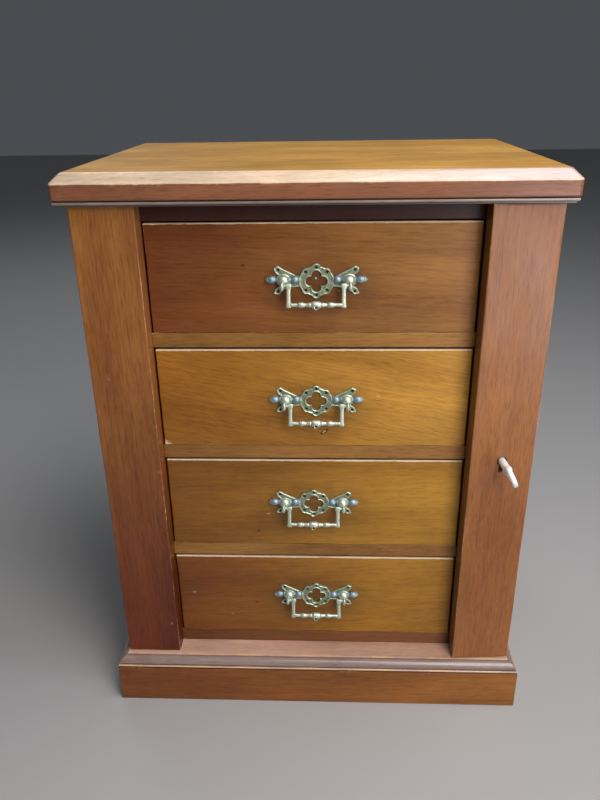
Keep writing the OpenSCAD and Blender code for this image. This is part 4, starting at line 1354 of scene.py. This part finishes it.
@dataclass
class Drawer:
    """One drawer: its polished front, its cedar box and its handle. They are numbered from the top.

    The shift is where the handle's middle stands from the front's middle, and the knot is where the pin knot
    stands from the handle's middle, both in mm across and up. A scarred front has a cut below its handle and a
    rubbed lower left corner.
    """

    number: int
    shift: tuple
    knot: tuple = ()
    scarred: bool = False

    def handle_at(self) -> tuple[float, float]:
        """Where the handle's middle stands, across and up."""
        return self.shift[0], SIZES.drawer_base[self.number - 1] + SIZES.drawer_h / 2 + self.shift[1]

    def board(self, cut: tuple | None) -> Shape:
        """The front's plain board, with close grid lines where marks are drawn on it.

        Args:
            cut: the middle of the cut in it, where it has one.

        Returns:
            The board.
        """
        s, base = SIZES, SIZES.drawer_base[self.number - 1]
        middle_x, middle_z = self.handle_at()
        lines = [list(middle_x + np.arange(-56, 57, 3.5)), [], list(middle_z + np.arange(-36, 30, 3.0))]
        if self.knot:
            lines[0] += list(middle_x + self.knot[0] + np.arange(-3, 3.01, 0.5))
            lines[2] += list(middle_z + self.knot[1] + np.arange(-3, 3.01, 0.5))
        if cut:
            lines[0] += list(cut[0] + np.arange(-4, 4.01, 0.4))
            lines[2] += list(cut[1] + np.arange(-3.6, 3.61, 0.4))
        return Board((s.drawer_l, s.front_y - 0.5, base + 0.1), (s.drawer_r, s.front_y + 14.5, base + s.drawer_h),
                     soft=1.1, worn=0.62, step=10, seed=80 + self.number, lines=tuple(lines), gap_shade=0.6).shape()

    def scar(self, front: Shape, face: np.ndarray, cut: tuple) -> None:
        """Cuts a small slanting hollow in a front, and rubs its lower left corner bare.

        Args:
            front: the front, which is changed.
            face: which of its points are on its face.
            cut: the hollow's middle.
        """
        low = SIZES.drawer_base[self.number - 1]
        corner = np.hypot(front.points[:, 0] - SIZES.drawer_l, front.points[:, 2] - low)
        front.bare = np.maximum(front.bare, 0.9 * np.clip(1.5 - corner / 4.2, 0, 1))
        x, z = front.points[:, 0] - cut[0], front.points[:, 2] - cut[1]
        along, across = (x + 0.8 * z) / 1.28, (z - 0.8 * x) / 1.28
        reach = np.hypot(along / 3.2, across / 1.1)
        front.points[:, 1] += np.where(face, 0.5 * np.clip(1 - reach, 0, 1), 0)
        front.bare = np.maximum(front.bare, np.where(face, np.clip(1.6 - 2.2 * reach, 0, 1), 0))
        front.grime_and_shade = np.where(face & (reach > 0.75) & (reach < 1.5), 0.75, front.grime_and_shade)

    def front(self) -> Shape:
        """The front: darker round and below its handle, painted shade with some handling soiling, pale along its top
        arris, worn and painted as a lit edge, and marked by use.

        Returns:
            The front, with its pin knot or its cut where it has one.
        """
        s, base = SIZES, SIZES.drawer_base[self.number - 1]
        cut = (8.9, base + 14.3) if self.scarred else None
        front = self.board(cut)
        middle_x, middle_z = self.handle_at()
        face = front.points[:, 1] < s.front_y + 1
        x, z = front.points[:, 0] - middle_x, front.points[:, 2] - middle_z
        # painted shade round the handle, darkest behind the plate and reaching below it, with some handling soiling
        away = np.hypot(x / 40, (z + 5) / 21) + 0.12 * ripple(front.points, 24, self.number)
        dirt_and_shade = np.where(np.hypot(x, z) < 11, 0.55, 0.3 * np.clip(1.5 - away, 0, 0.6) / 0.6)
        front.grime_and_shade = np.where(face, dirt_and_shade, front.grime_and_shade)
        # a pale line along the top arris only: wear, and a painted highlight of the edge lit from above; painted shade
        # is cleared there
        top_arris = np.clip(1.4 - (base + s.drawer_h - front.points[:, 2]) / 1.1, 0, 1) * (
            front.points[:, 1] < s.front_y + 1.2)
        front.bare = np.maximum(front.bare, top_arris * (0.9 + 0.2 * ripple(front.points, 30, self.number + 9)))
        front.grime_and_shade = np.where(top_arris > 0, 0, front.grime_and_shade)
        if self.knot:
            spot = np.hypot(x - self.knot[0], (z - self.knot[1]) * 1.3)
            mark = 0.8 * np.clip(1.4 - spot / 1.5, 0, 1)
            front.grime_and_shade = np.where(face, np.maximum(front.grime_and_shade, mark), front.grime_and_shade)
        if cut:
            self.scar(front, face, cut)
        return front

    def build(self, finishes: Finishes, handle: Handle) -> None:
        """Lays the front and the handle, and dresses the box.

        Args:
            finishes: every finish.
            handle: the pattern that all the handles are cast from.
        """
        i = self.number
        body = f"drawer_{i}"
        lay(f"{body}_front_polished", self.front(), [finishes.fronts[i - 1]], body,
            (f"{body}_front",))
        dress(finishes.lining, f"{body}_sides")
        dress(finishes.lining_back, f"{body}_back", f"{body}_bottom")
        across, up = self.handle_at()
        at = Matrix.Translation((across, SIZES.front_y - 0.5, up))
        metals = [finishes.brass, finishes.silvered]
        lay(f"{body}_plate_cast", handle.plate(pin=i == 1).moved(at), metals, body,
            (f"{body}_plate",), crease=50)
        lay(f"{body}_posts_cast", handle.posts().moved(at), metals, body, (f"{body}_posts",),
            crease=50)
        lay(f"{body}_bail_cast", handle.bail().moved(at), metals, f"bail_{i}", (f"{body}_bail",),
            crease=50)


# ---------------------------------------------------------------- the studio


@dataclass
class Studio:
    """The camera, a plain pale floor and soft lights."""

    eye: tuple = (13.905, -690.115, 584.916)
    yaw: float = 2.62827
    pitch: float = 24.05543
    roll: float = 0.92669
    lens: float = 32.252

    def camera(self) -> None:
        """Stands the camera at eye, in mm, turned left by yaw, tipped down by pitch and rolled, in degrees."""
        yaw, pitch, roll = (math.radians(a) for a in (self.yaw, self.pitch, self.roll))
        ahead = Vector((-math.sin(yaw) * math.cos(pitch), math.cos(yaw) * math.cos(pitch), -math.sin(pitch)))
        level = Vector((math.cos(yaw), math.sin(yaw), 0))
        down = ahead.cross(level)
        right = level * math.cos(roll) + down * math.sin(roll)
        up = level * math.sin(roll) - down * math.cos(roll)
        data = bpy.data.cameras.new("camera")
        data.lens, data.sensor_width = self.lens, 36.0
        data.clip_start, data.clip_end = 0.01, 100
        camera = bpy.data.objects.new("camera", data)
        turn = Matrix((right, up, -ahead)).transposed().to_4x4()
        camera.matrix_world = Matrix.Translation(Vector(self.eye) * MM) @ turn
        bpy.context.scene.collection.objects.link(camera)
        bpy.context.scene.camera = camera

    def light(self, name: str, place: tuple, aim: tuple, size: tuple, power: float, colour: str) -> None:
        """A soft box.

        Args:
            name: its name.
            place: where it hangs, in metres.
            aim: the point that it faces, in metres.
            size: its width and height, in metres.
            power: its power, in watts.
            colour: its colour.
        """
        data = bpy.data.lights.new(name, "AREA")
        data.shape, data.size, data.size_y = "RECTANGLE", size[0], size[1]
        data.energy, data.color = power, linear(colour)[:3]
        lamp = bpy.data.objects.new(name, data)
        lamp.location = place
        lamp.rotation_euler = (Vector(aim) - Vector(place)).to_track_quat("-Z", "Y").to_euler()
        bpy.context.scene.collection.objects.link(lamp)

    def build(self) -> None:
        """Sets up everything."""
        mesh = bpy.data.meshes.new("floor")
        far = 6.0
        mesh.from_pydata([(-far, -far, 0), (far, -far, 0), (far, far, 0), (-far, far, 0)], [], [(0, 1, 2, 3)])
        mesh.materials.append(PaintedFloor("pale_matt_floor").make())
        floor = bpy.data.objects.new("floor", mesh)
        bpy.context.scene.collection.objects.link(floor)
        world = bpy.data.worlds.new("studio_air")
        world.use_nodes = True
        backdrop = world.node_tree.nodes["Background"]
        backdrop.inputs[0].default_value = linear("#8d9298")
        backdrop.inputs[1].default_value = 0.26
        bpy.context.scene.world = world
        bpy.context.scene.view_settings.view_transform = "Standard"
        self.light("overhead", (0.5, -0.4, 1.6), (0.1, -0.05, 0.4), (1.2, 0.8), 19, "#f6f7ff")
        self.light("right_front", (0.42, -0.86, 0.84), (0.1, -0.1, 0.33), (0.5, 0.5), 6.3, "#fff4e6")
        self.light("rear_fill", (-0.9, 1.5, 1.9), (0, 0.1, 0.25), (0.9, 0.9), 7, "#f2f6ff")
        self.light("right_low", (0.62, -1.0, 0.22), (0.12, -0.1, 0.3), (0.5, 0.35), 3.2, "#eaf2ff")


def main() -> None:
    """Builds the chest in order, from its top down, and logs each piece's face count."""
    logging.basicConfig(level=logging.INFO, format="%(name)s: %(message)s")
    studio = Studio()
    studio.camera()
    finishes = Finishes()
    Top().build(finishes)
    Carcass().build(finishes)
    Base().build(finishes)
    LockingPilaster().build(finishes)
    handle = Handle()
    drawers = [Drawer(1, (2.4, -1.3), (-60, 13)), Drawer(2, (1.7, -1.3), scarred=True),
               Drawer(3, (-1.2, 0.8), (-53, -32)), Drawer(4, (0.6, 0.7), (-60, -10.5))]
    for drawer in drawers:
        drawer.build(finishes, handle)
    studio.build()
    bpy.context.view_layer.update()


if __name__ == "__main__":
    main()
